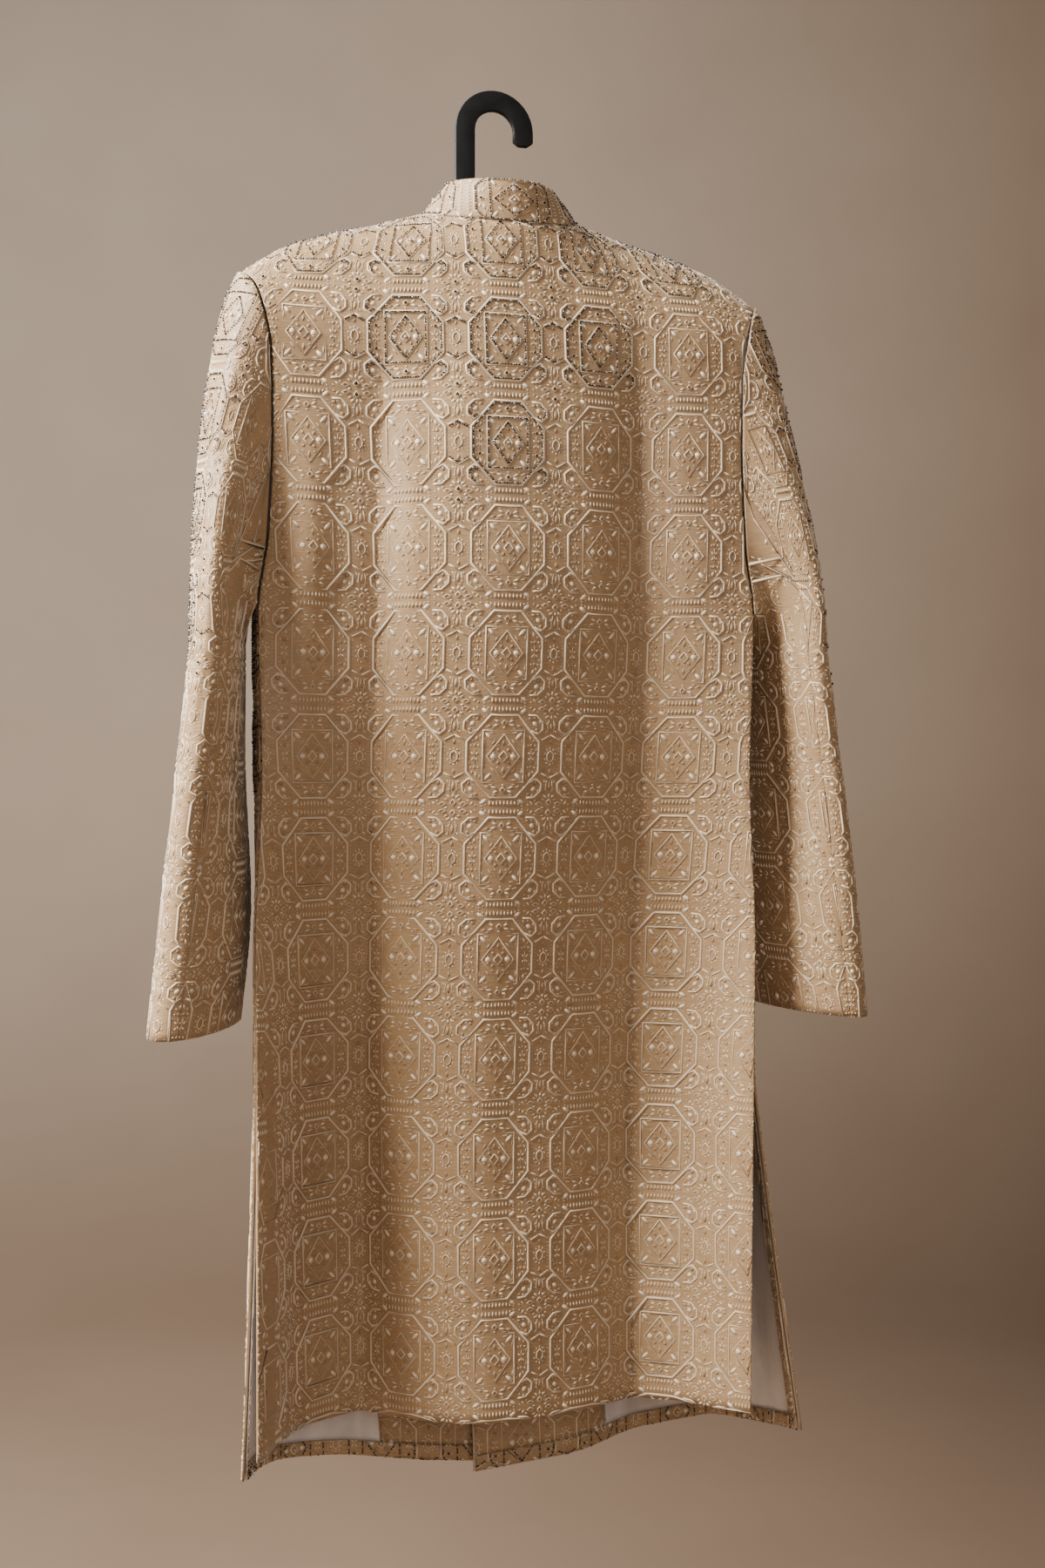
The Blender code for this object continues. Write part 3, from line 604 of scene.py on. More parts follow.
def roundness_at(from_centre):
    return mix(0.25, 1, np.minimum(np.abs(from_centre) / NECK, 1) ** 2)


def spread(first, last, count, edge=0.0):
    """Even steps, with one more close to each end where edge is given."""
    steps = list(np.linspace(first, last, count))
    if edge:
        near = (last - first) * edge
        steps = [first, first + near, *steps[1:-1], last - near, last]
    return np.array(steps)


def woven(rows, outward, start, level_row, level_down, edges=(), tuck=0.0012):
    """A cloth from its rows of points. start is where round is 0 on each row, as a share of the columns,
    and at level_row the length down is level_down. The edges named are seams, pressed in by the tuck."""
    place = np.array(rows)
    high, wide = place.shape[:2]

    def facing():
        along, down = np.gradient(place, axis=1), np.gradient(place, axis=0)
        normal = np.cross(along, down) * outward
        return normal / np.linalg.norm(normal, axis=-1, keepdims=True)

    def lengths(axis):
        steps = np.linalg.norm(np.diff(place, axis=axis), axis=-1)
        total = np.cumsum(steps, axis=axis)
        first = np.zeros_like(total[:1] if axis == 0 else total[:, :1])
        return np.concatenate((first, total), axis=axis)

    round_, down = lengths(1), lengths(0)
    starts = np.zeros(high) + start * (wide - 1)
    zeros = [np.interp(first, np.arange(wide), row) for first, row in zip(starts, round_)]
    round_ -= np.array(zeros)[:, None]
    low = int(level_row)
    down -= mix(down[low], down[min(low + 1, high - 1)], level_row - low) - level_down
    gaps = {"first": round_ - round_[:, :1], "last": round_[:, -1:] - round_,
            "top": down - down[:1], "bottom": down[-1:] - down}
    for edge in edges:
        share = np.clip(1 - gaps[edge] / 0.004, 0, 1) ** 2
        place -= facing() * (tuck * share)[..., None]
    return {"place": place, "normal": facing(), "round": round_, "down": down}


def sheet_of(name, cloth, surfaces, thick):
    """A piece of cloth with its own thickness under its face."""
    high, wide = cloth["round"].shape
    mesh = bmesh.new()
    bmesh.ops.create_grid(mesh, x_segments=wide - 1, y_segments=high - 1, size=0.5)
    weave = mesh.loops.layers.uv.new("cloth")
    spots = {}
    for vert in mesh.verts:
        spots[vert] = (round((0.5 - vert.co.y) * (high - 1)), round((vert.co.x + 0.5) * (wide - 1)))
    for face in mesh.faces:
        for loop in face.loops:
            spot = spots[loop.vert]
            loop[weave].uv = (cloth["round"][spot], cloth["down"][spot])
    for vert, spot in spots.items():
        vert.co = Vector(cloth["place"][spot])
    mesh.normal_update()
    middle = next(face for face in mesh.faces if spots[face.verts[0]] == (high // 2, wide // 2))
    if middle.normal.dot(Vector(cloth["normal"][high // 2, wide // 2])) < 0:
        bmesh.ops.reverse_faces(mesh, faces=mesh.faces[:])
    piece = finished(name, mesh, surfaces)
    wall = piece.modifiers.new("thickness", "SOLIDIFY")
    wall.thickness = thick
    wall.offset = -1
    wall.material_offset = len(surfaces) - 1
    wall.material_offset_rim = 0
    return piece


def cut_piece(panel, nodes, going_with):
    """Declares a cut piece of cloth, hung from the hanger, with what is worked on it."""
    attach(panel, "root")
    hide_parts(*nodes)
    for other in going_with:
        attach(other, "root")


def back_section(x, z):
    low = min(max((BACK_TOP_Z - z) / (BACK_TOP_Z - BACK_HEM_Z), 0), 1)
    width = float(along_table(BACK_WIDTH, 1, z))
    between = [mix(a, b, low) for a, b in zip(BACK_X_TOP, BACK_X_HEM)]
    keys = [CENTRE + width, *between, CENTRE - width]
    depths = [float(along_table(BACK, k, z)) for k in range(1, 10)]
    parts = [through(keys[a:b], depths[a:b], x) for a, b in ((6, 9), (2, 7), (0, 3))]
    return np.where(x < keys[6], parts[0], np.where(x < keys[2], parts[1], parts[2]))


def shoulder_seam(x):
    far = np.abs(x)
    round_neck = np.sqrt(np.clip(1 - (far / NECK) ** 2, 0, 1))
    outer = far >= NECK
    y = np.where(outer, 0.012 * (far - NECK) / (TIP - NECK), NECK_BACK[0] * round_neck)
    z = np.where(outer, along_table(SHOULDER, 1, far), mix(NECK_SIDE_Z, NECK_BACK[1], round_neck))
    return points(CENTRE + x, y, z)


def folded(place, folds, facing):
    """Small folds pressed into the cloth, in depth. facing is 1 if it faces +Y and -1 if -Y."""
    for x_top, z_top, x_low, z_low, width, depth in folds:
        share = np.clip((place[:, 2] - z_top) / (z_low - z_top), 0, 1)
        near = np.exp(-(((place[:, 0] - mix(x_top, x_low, share)) / width) ** 2))
        place[:, 1] -= facing * depth * near * np.sin(math.pi * share) ** 1.3
    return place


def back_row(across, level):
    if level >= 0:
        z = mix(BACK_TOP_Z, BACK_HEM_Z, level)
        x = CENTRE + across * along_table(BACK_WIDTH, 1, z)
        return points(x, back_section(x, z), z)
    share = 1 + level
    edge_z = mix(BACK_TOP_Z, SHOULDER_Z, math.cos(math.radians(90 * share)))
    x = across * along_table(BACK_WIDTH, 1, edge_z)
    bottom = points(CENTRE + x, back_section(CENTRE + x, BACK_TOP_Z), BACK_TOP_Z)
    return fall(shoulder_seam(x), bottom, share, roundness_at(x))


back_across = spread(-1, 1, 118, 0.0015)
back_levels = np.concatenate((spread(-1, 0, 14)[:-1], spread(0, 1, 96)))
back_rows = [folded(back_row(back_across, level), BACK_FOLDS, 1) for level in back_levels]
level_row = float(np.interp(-MEDALLION_Z, [-row[60, 2] for row in back_rows], np.arange(len(back_rows))))
starts = np.linspace(0.014, 0.006, len(back_rows))
zero = [np.interp(CENTRE + shift, row[:, 0], np.arange(len(row))) for shift, row in zip(starts, back_rows)]
shares = np.array(zero) / (len(back_across) - 1)
back_seams = ("first", "last", "top")
back_cloth = woven(back_rows, 1, shares, level_row, MEDALLION_DOWN, back_seams, 0.0008)
back_panel = sheet_of("back_panel", back_cloth, [silk, satin], CLOTH)
back_places = [(k * ACROSS, row * DOWN) for row in range(-1, 13) for k in range(-3, 4)]
back_thread = laid("back_embroidery", back_cloth, tile_mesh, back_places, thread)
BEADED = ((-2, 0), (-1, 0), (0, 0), (1, 0), (2, 0), (-1, 1), (0, 1), (1, 1), (0, 2))
beaded_places = [(k * ACROSS, row * DOWN) for k, row in BEADED]
back_beads = laid("back_beads", back_cloth, bead_mesh, beaded_places, beads, sunk=0)
cut_piece(back_panel, ["back"], [back_thread, back_beads])


# Fronts
# Two fronts of the same silk, the left lapping over the right at the centre. Each runs from the shoulder
# and armhole down the side seam, which is left open as a slit over the thigh, to a hem below the back's.

SLIT_Z = -0.846
FRONT_TOP_Z = -0.250
NECK_FRONT = (-0.078, -0.172)
NECK_TURN = 110
# The first column of medallions lies this far from the front edge
FIRST_COLUMN = 0.045
BEADED_ROWS = 6
# z, then x and y at five places from near the side to the front edge
FRONT_LEFT = (
    (-0.250, 0.2080, -0.020, 0.182, -0.067, 0.130, -0.092, 0.045, -0.103, -0.033, -0.1055),
    (-0.450, 0.2085, -0.022, 0.190, -0.070, 0.135, -0.102, 0.050, -0.117, -0.033, -0.1200),
    (-0.600, 0.2075, -0.020, 0.190, -0.064, 0.137, -0.095, 0.050, -0.107, -0.034, -0.1090),
    (-0.750, 0.2060, -0.014, 0.192, -0.060, 0.140, -0.090, 0.050, -0.098, -0.036, -0.0995),
    (-0.950, 0.2080, -0.022, 0.190, -0.066, 0.140, -0.089, 0.052, -0.0855, -0.040, -0.0830),
    (-1.190, 0.2060, -0.038, 0.172, -0.077, 0.118, -0.090, 0.040, -0.071, -0.045, -0.0620),
)
FRONT_RIGHT = (
    (-0.250, -0.2200, -0.020, -0.194, -0.067, -0.142, -0.090, -0.057, -0.100, 0.019, -0.1015),
    (-0.450, -0.2265, -0.020, -0.204, -0.070, -0.147, -0.100, -0.062, -0.113, 0.019, -0.1155),
    (-0.600, -0.2270, -0.018, -0.204, -0.064, -0.149, -0.093, -0.062, -0.103, 0.018, -0.1045),
    (-0.750, -0.2310, -0.012, -0.206, -0.060, -0.152, -0.086, -0.062, -0.092, 0.016, -0.0940),
    (-0.950, -0.2440, -0.016, -0.214, -0.066, -0.156, -0.084, -0.066, -0.078, 0.011, -0.0765),
    (-1.190, -0.2670, -0.030, -0.228, -0.086, -0.166, -0.090, -0.080, -0.056, 0.0045, -0.0555),
)
FRONTS = {"left": FRONT_LEFT, "right": FRONT_RIGHT}
# How far the slit's front edge swings out at the hem, in x and y
OPEN = {"left": (0.006, -0.0345), "right": (-0.051, -0.012)}
# The hem's height at the slit and at the front edge
HEM_Z = {"left": (-1.179, -1.209), "right": (-1.175, -1.212)}
# z, and how much of the front's width the armhole takes there
ARMHOLE_CUT = ((-0.250, 0.21), (-0.310, 0.235), (-0.370, 0.205), (-0.415, 0.12), (-0.436, 0.05),
               (-0.445, 0.0))
# As the back's small folds are given
FRONT_FOLDS = {
    "left": (
        (0.140, -0.300, 0.135, -0.620, 0.018, 0.0030), (0.080, -0.700, 0.078, -1.180, 0.028, 0.0035),
        (0.020, -0.760, 0.012, -1.190, 0.020, -0.0025), (0.090, -0.180, 0.060, -0.440, 0.022, -0.0020),
    ),
    "right": (
        (-0.150, -0.300, -0.146, -0.640, 0.018, 0.0030), (-0.100, -0.720, -0.112, -1.180, 0.028, 0.0035),
        (-0.035, -0.780, -0.048, -1.190, 0.020, -0.0025), (-0.090, -0.180, -0.060, -0.440, 0.022, -0.0020),
    ),
}
side_heights = np.linspace(-0.150, -1.215, 120)
side_rises = {}
for side, sign in (("left", 1), ("right", -1)):
    rises = []
    for z in side_heights:
        edge = CENTRE + sign * along_table(BACK_WIDTH, 1, z)
        rises.append((back_section(edge, z) - back_section(edge - sign * 0.012, z)) / 0.012)
    side_rises[side] = np.array(rises, float)


def side_start(side, z):
    sign = 1 if side == "left" else -1
    edge = CENTRE + sign * along_table(BACK_WIDTH, 1, z)
    edge_y = along_table(BACK, 1 if side == "left" else 9, z)
    rise = np.interp(-z, -side_heights, side_rises[side])
    size = np.sqrt(rise**2 + 1)
    in_x, in_y = sign * rise / size, -1 / size
    reach = CLOTH + 0.0002 + CLOTH * np.maximum(sign * in_x, 0)
    open_share = np.maximum((SLIT_Z - z) / (SLIT_Z - BACK_HEM_Z), 0) ** 1.1
    open_x, open_y = OPEN[side]
    return edge + in_x * reach + open_x * open_share, edge_y + in_y * reach + open_y * open_share


def front_section(side, across, z):
    start_x, start_y = side_start(side, z)
    table = FRONTS[side]
    keys = np.linspace(0, 1, 6)
    xs = np.stack([start_x, *(along_table(table, 2 * k - 1, z) for k in range(1, 6))])
    ys = np.stack([start_y, *(along_table(table, 2 * k, z) for k in range(1, 6))])
    return points(through(keys, xs, across), through(keys, ys, across), z)


def lap(side, across):
    return 0.0042 * np.clip((across - 0.65) / 0.15, 0, 1) if side == "left" else 0.0 * across


def front_neck(side, across):
    sign = 1 if side == "left" else -1
    shoulder = shoulder_seam(sign * mix(TIP, NECK, np.minimum(across / 0.5, 1)))
    turn = np.radians(np.maximum(across - 0.5, 0) / 0.5 * NECK_TURN)
    drop = np.maximum(np.sin(turn), 0)
    neck = points(CENTRE + sign * NECK * np.cos(turn), mix(0, NECK_FRONT[0], drop) - lap(side, across),
                  mix(NECK_SIDE_Z, NECK_FRONT[1], drop**1.3))
    made = np.where((across < 0.5)[:, None], shoulder, neck)
    made[:, 1] -= 0.0002
    return made


def front_row(side, across, level):
    if level >= 0:
        z = mix(FRONT_TOP_Z, mix(*HEM_Z[side], across), level)
        return front_section(side, mix(along_table(ARMHOLE_CUT, 1, z), 1, across), z)
    cut = along_table(ARMHOLE_CUT, 1, FRONT_TOP_Z)
    bottom = front_section(side, mix(cut, 1, across), FRONT_TOP_Z + 0 * across)
    top = front_neck(side, across)
    return fall(top, bottom, 1 + level, roundness_at(top[:, 0] - CENTRE))


front_across = spread(0, 1, 50, 0.004)
front_levels = np.concatenate((spread(-1, 0, 12)[:-1], spread(0, 1, 92)))
fronts = {}
for side in ("left", "right"):
    sign = 1 if side == "left" else -1
    rows = [folded(front_row(side, front_across, level), FRONT_FOLDS[side], -1) for level in front_levels]
    middle = np.array([row[26, 2] for row in rows])
    level_row = float(np.interp(-MEDALLION_Z, -middle, np.arange(len(rows))))
    cloth = woven(rows, sign, 1.0, level_row, MEDALLION_DOWN, ("first", "top"))
    fronts[side] = cloth
    panel = sheet_of(f"front_{side}_panel", cloth, [silk, satin], CLOTH)
    columns = [-(FIRST_COLUMN + k * ACROSS) for k in range(-1, 5)]
    places = [(x, row * DOWN) for row in range(-2, 14) for x in columns]
    worked = laid(f"front_{side}_embroidery", cloth, tile_mesh, places, thread)
    high_places = [(x, y) for x, y in places if y < BEADED_ROWS * DOWN]
    strung_on = laid(f"front_{side}_beads", cloth, bead_mesh, high_places, beads, sunk=0)
    cut_piece(panel, [f"front_{side}"], [worked, strung_on])


# Facings, turn-backs and linings
# Inside, each front is faced with a strip of its own silk along the front edge. The hem and the slit's
# edge are turned back a finger's width, and grey satin lining fills the rest.

FACING = 0.105
HEM_TURN = 0.010
LINING_TOP_Z = -0.800


def columns_at(share):
    return float(np.interp(share, front_across, np.arange(len(front_across))))


def patch(cloth, rows, cols, depth):
    """A smaller cloth on the inner side of another, this deep under its face, facing in."""
    row, col = np.meshgrid(rows, cols, indexing="ij")
    normal = sample(cloth["normal"], row, col)
    normal /= np.linalg.norm(normal, axis=-1, keepdims=True)
    made = {name: sample(cloth[name], row, col) for name in ("round", "down")}
    made["place"] = sample(cloth["place"], row, col) - normal * depth
    made["normal"] = -normal
    return made


for side in ("left", "right"):
    cloth = fronts[side]
    width = float(np.abs(cloth["round"][80]).max())
    top = float(np.interp(-LINING_TOP_Z, -cloth["place"][:, 20, 2], np.arange(len(front_levels))))
    bottom = len(front_levels) - 1
    length = float(cloth["down"][-1, 20] - sample(cloth["down"], np.array([top]), np.array([20.0]))[0])
    low = mix(bottom, top, HEM_TURN / length)
    edge = columns_at(1 - FACING / width)
    slit = columns_at(HEM_TURN / width)
    from_slit = cloth["round"][80] - cloth["round"][80, 0]
    slit_turned = float(np.interp(HEM_TURN + 0.003, np.abs(from_slit), np.arange(len(front_across))))
    strip_top = mix(bottom, top, (HEM_TURN + 0.004) / length)
    strip_rows = spread(strip_top, bottom - 0.05, 5)
    front_edge = columns_at(0.998)
    parts = {
        "facing": patch(cloth, spread(top, low, 34), spread(edge, front_edge, 22), CLOTH + 0.0012),
        "lining": patch(cloth, spread(top, low, 40), spread(slit, edge + 0.3, 40), CLOTH + 0.0008),
        "hem_turn": patch(cloth, strip_rows, spread(0.3, front_edge, 60), CLOTH + 0.0024),
        "slit_turn": patch(cloth, spread(top, strip_top, 40), spread(0.3, slit_turned, 5), CLOTH + 0.0020),
    }
    made = {}
    for part, inner in parts.items():
        surface = satin if part == "lining" else silk
        made[part] = sheet_of(f"{part}_{side}_cloth", inner, [surface, satin], 0.0006)
    columns = [-(FIRST_COLUMN + k * ACROSS) for k in range(-1, 5)]
    places = [(x, row * DOWN) for row in range(7, 14) for x in columns]
    near = [(x, y) for x, y in places if x > -FACING - 0.05]
    low_places = [(x, y) for x, y in places if y > 0.95]
    made["facing_work"] = laid(f"facing_{side}_embroidery", parts["facing"], tile_mesh, near, thread)
    made["hem_work"] = laid(f"hem_turn_{side}_embroidery", parts["hem_turn"], tile_mesh, low_places, thread)
    made["hem_beads"] = laid(f"hem_turn_{side}_beads", parts["hem_turn"], bead_mesh, low_places, beads,
                             sunk=0)
    far = [(x, y) for x, y in places if x < -0.20]
    made["slit_work"] = laid(f"slit_turn_{side}_embroidery", parts["slit_turn"], tile_mesh, far, thread)
    cut_piece(made["facing"], [f"facing_{side}"], [made["facing_work"]])
    cut_piece(made["lining"], [f"lining_{side}"], [])
    cut_piece(made["hem_turn"], [], [made["hem_work"], made["hem_beads"]])
    cut_piece(made["slit_turn"], [], [made["slit_work"]])


# Sleeves
# Two-piece sleeves: a wide top piece round the outside and a narrow under piece, set into the armhole
# with a little ease and hanging flat at the coat's sides. They are cut open and straight at the cuff.

UNDERARM_Z = -0.445
CUFF_Z = -0.794
# z, the middle's x on the left and on the right sleeve, its y, half the length and half the thickness of
# the section, and its lean in degrees
SLEEVE = (
    (-0.475, 0.2415, -0.2640, 0.000, 0.078, 0.0220, 78),
    (-0.590, 0.2470, -0.2755, -0.002, 0.074, 0.0255, 70),
    (-0.710, 0.2530, -0.2840, 0.005, 0.068, 0.0300, 60),
    (CUFF_Z, 0.2620, -0.2945, 0.010, 0.060, 0.0295, 55),
)
SLEEVE_SEAMS = (118, 250)
CUFF_SLANT = 0.005
SLEEVE_MEDALLION_Z = -0.600
SLEEVE_MEDALLION_DOWN = 0.403
# The medallions are a little closer down the sleeve than down the body
SLEEVE_DOWN = 0.95 * DOWN


def sleeve_section(side, turn, z):
    sign = 1 if side == "left" else -1
    columns = (1 if sign > 0 else 2, 3, 4, 5, 6)
    centre_x, centre_y, long, thick, lean = (along_table(SLEEVE, k, z) for k in columns)
    lean = math.radians(float(lean))
    round_ = np.radians(turn)
    out, back = thick * np.cos(round_), long * np.sin(round_)
    x = out * math.sin(lean) + back * math.cos(lean)
    y = back * math.sin(lean) - out * math.cos(lean)
    slant = CUFF_SLANT * np.sin(round_) * (z - UNDERARM_Z) / (UNDERARM_Z - CUFF_Z)
    return points(centre_x + sign * x, centre_y + y, z + slant)


def armhole(side, turn):
    sign = 1 if side == "left" else -1
    if turn <= 180:
        share = turn / 180
        deep = (BACK_TOP_Z - UNDERARM_Z) / (BACK_TOP_Z - BACK_HEM_Z)
        level = -1 + share / 0.3 if share < 0.3 else (share - 0.3) / 0.7 * deep
        return back_row(np.array([float(sign)]), level)[0]
    share = (360 - turn) / 180
    deep = (FRONT_TOP_Z - UNDERARM_Z) / (FRONT_TOP_Z - HEM_Z[side][0])
    level = -1 + share / 0.35 if share < 0.35 else (share - 0.35) / 0.65 * deep
    return front_row(side, np.array([0.0]), level)[0]


def sleeve_row(side, turns, starts, down):
    sign = 1 if side == "left" else -1
    if down >= 0.3:
        return sleeve_section(side, turns, mix(SLEEVE[0][0], CUFF_Z, (down - 0.3) / 0.7))
    end = sleeve_section(side, turns, SLEEVE[0][0])
    drop = starts[:, 2:] - end[:, 2:]
    first = starts + drop * (sign * 0.07, 0, -0.12)
    second = end + drop * (0, 0, 0.55)
    u = down / 0.3
    return starts * (1 - u) ** 3 + first * 3 * u * (1 - u) ** 2 + second * 3 * u * u * (1 - u) + end * u**3


# Creases in the sleeves: turn and down where each starts and ends, its width in degrees, and its depth
SLEEVE_FOLDS = (
    (20, 0.02, 42, 0.34, 12, 0.0026), (52, 0.03, 66, 0.30, 10, 0.0024), (-15, 0.05, -40, 0.38, 14, 0.0024),
    (75, 0.42, 30, 0.66, 12, 0.0024), (38, 0.52, 66, 0.98, 14, 0.0022), (95, 0.25, 84, 0.56, 10, 0.0022),
    (-60, 0.45, -25, 0.80, 14, 0.0022), (160, 0.35, 170, 0.80, 14, 0.0022),
    (215, 0.30, 200, 0.75, 12, 0.0020),
)
sleeve_downs = np.concatenate((spread(0, 0.3, 22)[:-1], spread(0.3, 1, 50)))
for side in ("left", "right"):
    sign = 1 if side == "left" else -1
    # The last number is the turn at which a column of medallions stands
    for part, first, last, count, heart in (("top", SLEEVE_SEAMS[1] - 360, SLEEVE_SEAMS[0], 46, 25),
                                            ("under", *SLEEVE_SEAMS, 30, 184)):
        turns = spread(first, last, count, 0.006)
        starts = np.array([armhole(side, turn % 360) for turn in turns]) + (sign * (CLOTH + 0.0002), 0, 0)
        rows = []
        for down in sleeve_downs:
            row = sleeve_row(side, turns, starts, down)
            centre_x = float(along_table(SLEEVE, 1 if sign > 0 else 2, row[0, 2]))
            away = row - np.array([centre_x, row[:, 1].mean(), 0])
            away[:, 2] = 0
            away /= np.maximum(np.linalg.norm(away, axis=1, keepdims=True), 1e-6)
            for t0, d0, t1, d1, width, depth in SLEEVE_FOLDS:
                share = np.clip((down - d0) / (d1 - d0), 0, 1)
                near = np.exp(-(((turns - mix(t0, t1, share)) / width) ** 2))
                near = near * np.sin(math.pi * share) ** 1.2
                row = row - away * (depth * near)[:, None]
            rows.append(row)
        middle = np.array([row[count // 2, 2] for row in rows])
        level_row = float(np.interp(-SLEEVE_MEDALLION_Z, -middle, np.arange(len(rows))))
        start = (heart - first) / (last - first)
        cloth = woven(rows, -sign, start, level_row, SLEEVE_MEDALLION_DOWN, ("first", "last"), 0.0005)
        panel = sheet_of(f"sleeve_{side}_{part}_panel", cloth, [silk, satin], CLOTH)
        places = [(k * ACROSS, row * SLEEVE_DOWN) for row in range(-2, 9) for k in range(-2, 3)]
        worked = laid(f"sleeve_{side}_{part}_embroidery", cloth, tile_mesh, places, thread)
        going_with = [worked]
        if part == "top":
            shown = [(k * ACROSS, row * SLEEVE_DOWN) for row in range(-1, 4) for k in (-1, 0)]
            going_with.append(laid(f"sleeve_{side}_{part}_beads", cloth, bead_mesh, shown, beads, sunk=0))
        cut_piece(panel, [f"sleeve_{side}_{part}"], going_with)


# Collar
# A stiff stand collar, open at the front, of the same embroidered silk on both its faces. Its embroidery
# turns the medallions on their sides and is beaded all round.


def collar_row(turns, up):
    round_ = np.radians(turns)
    side, back = np.sin(round_), np.cos(round_)
    front = np.maximum(-back, 0)
    behind = back > 0
    front_z = mix(NECK_SIDE_Z, NECK_FRONT[1], front**1.3)
    low = points(CENTRE + NECK * side, np.where(behind, NECK_BACK[0] * back, -NECK_FRONT[0] * back),
                 np.where(behind, mix(NECK_SIDE_Z, NECK_BACK[1], back), front_z))
    high = points(-0.0035 + 0.0450 * side, np.where(behind, 0.052 * back, 0.088 * back),
                  np.where(behind, mix(-0.0660, -0.0744, back), mix(-0.0660, -0.1300, front**1.3)))
    made = mix(low, high, up)
    made[:, 1] -= np.where(turns > 90, lap("left", 0.5 + 0.5 * (turns - 90) / NECK_TURN), 0)
    return made


collar_turns = spread(-177, 177, 160)
collar_rows = [collar_row(collar_turns, up) for up in spread(1, 0, 16)]
collar_cloth = woven(collar_rows, 1, 0.5, 7.5, 0.0)
collar_panel = sheet_of("collar_panel", collar_cloth, [silk, silk], 0.003)
collar_places = [(k * DOWN, shift) for k in range(-3, 4) for shift in (-ACROSS, 0.0, ACROSS)]
collar_thread = laid("collar_embroidery", collar_cloth, tile_mesh, collar_places, thread, turned=True)
collar_beads = laid("collar_beads", collar_cloth, bead_mesh, collar_places, beads, turned=True, sunk=0)
collar_inside = patch(collar_cloth, spread(0.2, 14.8, 10), spread(0.5, 158.5, 120), 0.0031)
collar_lined = sheet_of("collar_inside", collar_inside, [silk, silk], 0.0004)
collar_inner_thread = laid("collar_inner_embroidery", collar_inside, tile_mesh, collar_places, thread,
                           turned=True)
cut_piece(collar_panel, ["collar"], [collar_thread, collar_beads])
cut_piece(collar_lined, [], [collar_inner_thread])


# Buttons
# Eight low domes down the left front, taken as moulded in a gilt plastic and sewn on by a loop behind.
# They stay fastened here.

BUTTONS = 8
BUTTON_TOP_Z = -0.262
BUTTON_LOW_Z = -0.640
BUTTON_LINE = 0.925
button_gold, tree, shader = node_material("gilt_plastic", 0.3, Metallic=0.0, Coat_Weight=0.3)
button_place = tree.nodes.new("ShaderNodeTexCoord")
worn = noise(tree, button_place.outputs["Object"], 320.0, 2.0)
gilt = ramp(tree, worn, ((0.3, (0.30, 0.19, 0.08)), (0.7, (0.48, 0.33, 0.17))))
tree.links.new(gilt, shader.inputs["Base Color"])
button_mesh = bmesh.new()
# Radius and height, from the middle of the underside to the top of the dome
BUTTON_PROFILE = (
    (0.0, 0.0005), (0.0052, 0.0005), (0.0060, 0.0008), (0.0069, 0.0017), (0.0070, 0.0024), (0.0066, 0.0032),
    (0.0055, 0.0041), (0.0051, 0.0038), (0.0044, 0.0040), (0.0030, 0.0049), (0.0, 0.0053),
)
for number in range(BUTTONS):
    z = mix(BUTTON_TOP_Z, BUTTON_LOW_Z, number / (BUTTONS - 1))
    cloth = fronts["left"]
    row = np.interp(-z, -cloth["place"][:, 48, 2], np.arange(len(front_levels)))
    col = BUTTON_LINE * (len(front_across) - 1)
    spot = [sample(cloth[name], np.array([row]), np.array([col]))[0] for name in ("place", "normal")]
    line = [button_mesh.verts.new((radius, 0, height)) for radius, height in BUTTON_PROFILE]
    edges = [button_mesh.edges.new(pair) for pair in zip(line, line[1:])]
    made = bmesh.ops.spin(button_mesh, geom=line + edges, cent=(0, 0, 0), axis=(0, 0, 1), angle=2 * math.pi,
                          steps=24, use_merge=True)
    turned = [vert for vert in button_mesh.verts if not vert.tag]
    place = Vector(spot[1]).to_track_quat("Z", "Y").to_matrix().to_4x4()
    place.translation = Vector(spot[0])
    bmesh.ops.transform(button_mesh, matrix=place, verts=turned)
    bmesh.ops.remove_doubles(button_mesh, verts=turned, dist=1e-6)
    for vert in button_mesh.verts:
        vert.tag = True
bmesh.ops.recalc_face_normals(button_mesh, faces=button_mesh.faces[:])
buttons = finished("front_buttons", button_mesh, [button_gold])
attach(buttons, "root")
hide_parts(*[f"button_{number + 1}" for number in range(BUTTONS)])


# Stage
# A round paper backdrop that curves up from its floor, lit by a large soft lamp at one side, a weak one in
# front and one behind.
# Its colour holds painted shade, darker toward the right of the main view and toward the floor.

backdrop_paper, tree, shader = node_material("backdrop_paper", 0.9)
paper_place = tree.nodes.new("ShaderNodeTexCoord").outputs["Object"]
fibres = noise(tree, paper_place, 3.0, 2.0)
across = tree.nodes.new("ShaderNodeVectorMath")
across.operation = "DOT_PRODUCT"
across.inputs[1].default_value = (-0.9613, 0.2756, 0.0)
tree.links.new(paper_place, across.inputs[0])
split = tree.nodes.new("ShaderNodeSeparateXYZ")
tree.links.new(paper_place, split.inputs["Vector"])


def ranged(value, low, high):
    made = tree.nodes.new("ShaderNodeMapRange")
    made.inputs["From Min"].default_value = low
    made.inputs["From Max"].default_value = high
    tree.links.new(value, made.inputs["Value"])
    return made.outputs["Result"]


plain = ramp(tree, fibres, ((0.3, (0.70, 0.61, 0.52)), (0.7, (0.74, 0.65, 0.56))))
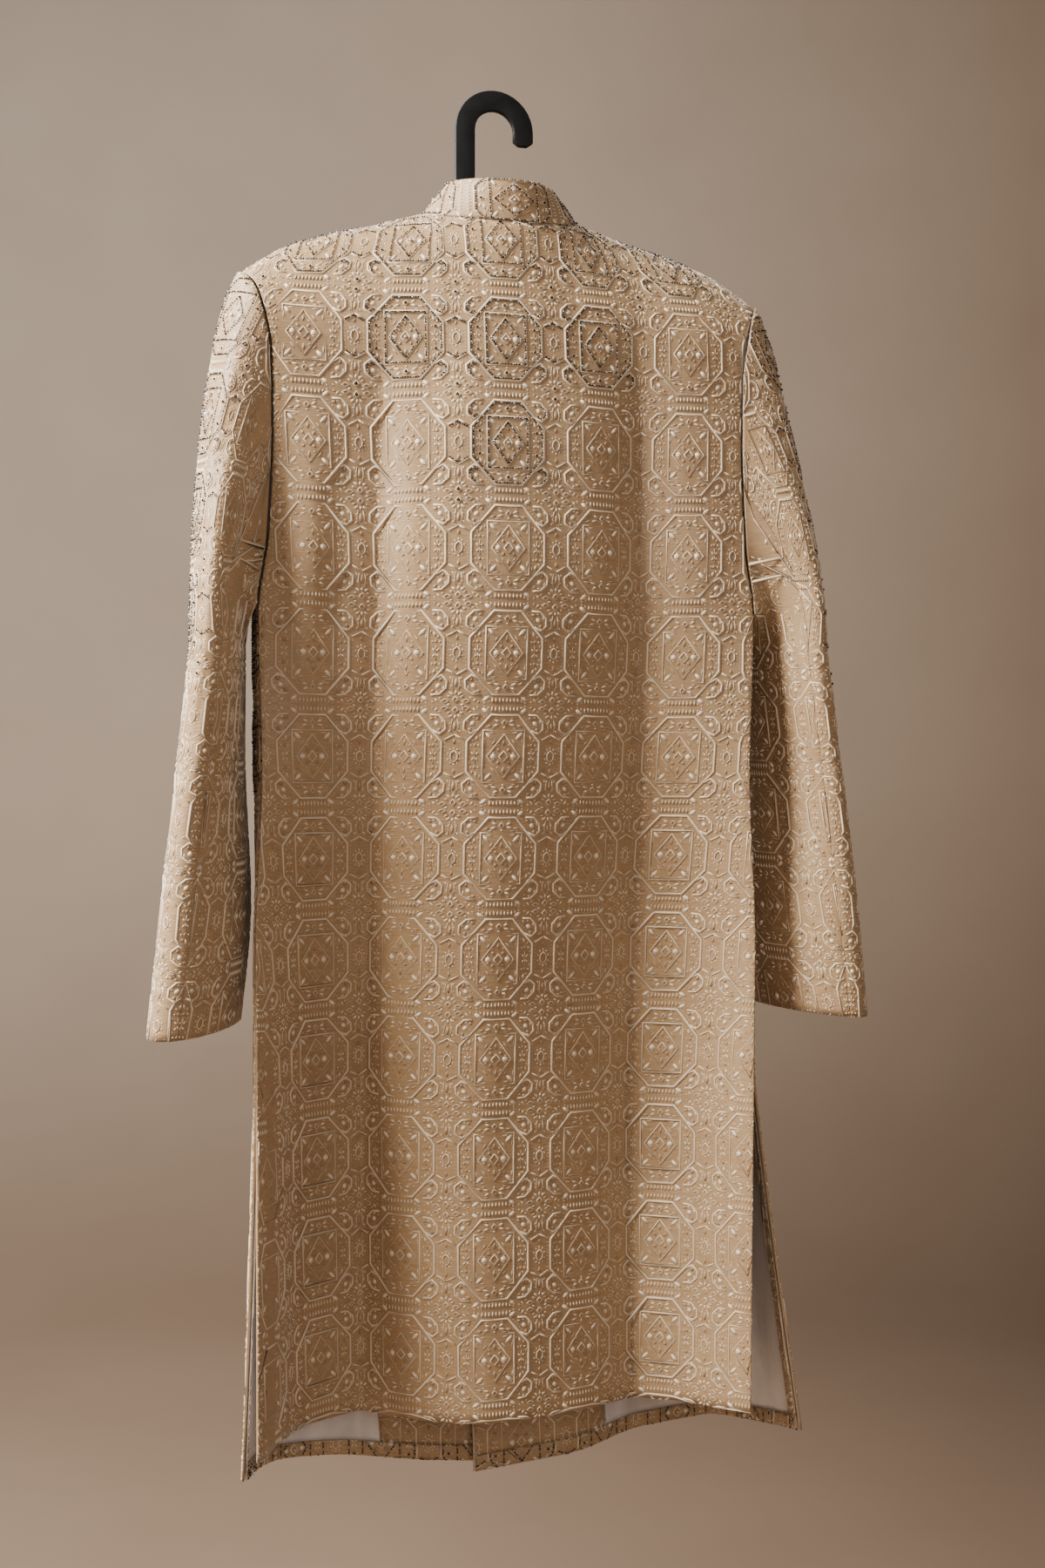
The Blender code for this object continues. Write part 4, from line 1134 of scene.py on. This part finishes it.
# Painted shade: the paper is darkened toward the right across the main view and toward its floor, lightest
# at the upper left, as lamplight falling off would make it.
PAINTED_SHADE_TO_RIGHT = ((0.0, (1.0, 1.0, 1.0)), (0.45, (0.86, 0.83, 0.80)), (1.0, (0.36, 0.31, 0.27)))
PAINTED_SHADE_TO_FLOOR = ((0.0, (0.34, 0.28, 0.235)), (0.4, (0.84, 0.81, 0.78)), (1.0, (1.0, 1.0, 1.0)))
painted_shade_to_right = ramp(tree, ranged(across.outputs["Value"], -1.6, 1.6), PAINTED_SHADE_TO_RIGHT)
painted_shade_to_floor = ramp(tree, ranged(split.outputs["Z"], -1.9, 1.4), PAINTED_SHADE_TO_FLOOR)
tree.links.new(multiply(tree, multiply(tree, plain, painted_shade_to_right), painted_shade_to_floor), shader.inputs["Base Color"])
paper = bmesh.new()
profile = [(0.0, 0.0, -1.9), (3.2, 0.0, -1.9)]
bend = np.radians(np.linspace(8, 90, 12))
profile += [(3.2 + 1.4 * math.sin(a), 0.0, -0.5 - 1.4 * math.cos(a)) for a in bend]
profile += [(4.6, 0.0, 3.0)]
line = [paper.verts.new(place) for place in profile]
edges = [paper.edges.new(pair) for pair in zip(line, line[1:])]
bmesh.ops.spin(paper, geom=line + edges, cent=(0, 0, 0), axis=(0, 0, 1), angle=2 * math.pi, steps=96,
               use_merge=True)
bmesh.ops.remove_doubles(paper, verts=paper.verts[:], dist=1e-5)
bmesh.ops.recalc_face_normals(paper, faces=paper.faces[:])
if next(face for face in paper.faces if abs(face.normal.z) > 0.99).normal.z < 0:
    bmesh.ops.reverse_faces(paper, faces=paper.faces[:])
backdrop = finished("backdrop", paper, [backdrop_paper])
backdrop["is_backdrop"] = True

world = bpy.data.worlds.new("studio")
world.use_nodes = True
world.node_tree.nodes["Background"].inputs["Color"].default_value = (1.0, 0.94, 0.86, 1)
world.node_tree.nodes["Background"].inputs["Strength"].default_value = 0.30
scene.world = world

TO_CAMERA = Vector((0.2756, 0.9613, 0.0))
TO_RIGHT = Vector((-0.9613, 0.2756, 0.0))
MIDDLE_OF_COAT = Vector((-0.006, 0.0, -0.60))


def lamp(name, offset, size, energy, colour):
    """A soft square lamp, placed by how far right, up and toward the camera it stands."""
    made = bpy.data.lights.new(name, "AREA")
    made.shape = "SQUARE"
    made.size = size
    made.energy = energy
    made.color = colour
    holder = bpy.data.objects.new(name, made)
    spot = MIDDLE_OF_COAT + TO_RIGHT * offset[0] + Vector((0, 0, offset[1])) + TO_CAMERA * offset[2]
    holder.location = spot
    holder.rotation_euler = (spot - MIDDLE_OF_COAT).to_track_quat("Z", "Y").to_euler()
    scene.collection.objects.link(holder)
    holder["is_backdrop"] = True


lamp("key", (-1.75, 1.55, 0.90), 1.1, 300, (1.0, 0.95, 0.88))
lamp("fill", (1.0, 0.6, 2.6), 2.0, 24, (1.0, 0.95, 0.90))
lamp("behind", (-2.0, 2.0, -1.6), 1.6, 80, (1.0, 0.95, 0.90))

camera_lens = bpy.data.cameras.new("camera")
camera_lens.lens = 44.96
camera_lens.sensor_fit = "VERTICAL"
camera_lens.sensor_width = 36
camera_lens.sensor_height = 36
camera = bpy.data.objects.new("camera", camera_lens)
camera.matrix_world = Matrix((
    (TO_RIGHT.x, 0, TO_CAMERA.x, 0.4498),
    (TO_RIGHT.y, 0, TO_CAMERA.y, 1.6604),
    (0, 1, 0, -0.5906),
    (0, 0, 0, 1),
))
scene.collection.objects.link(camera)
scene.camera = camera

low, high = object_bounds()
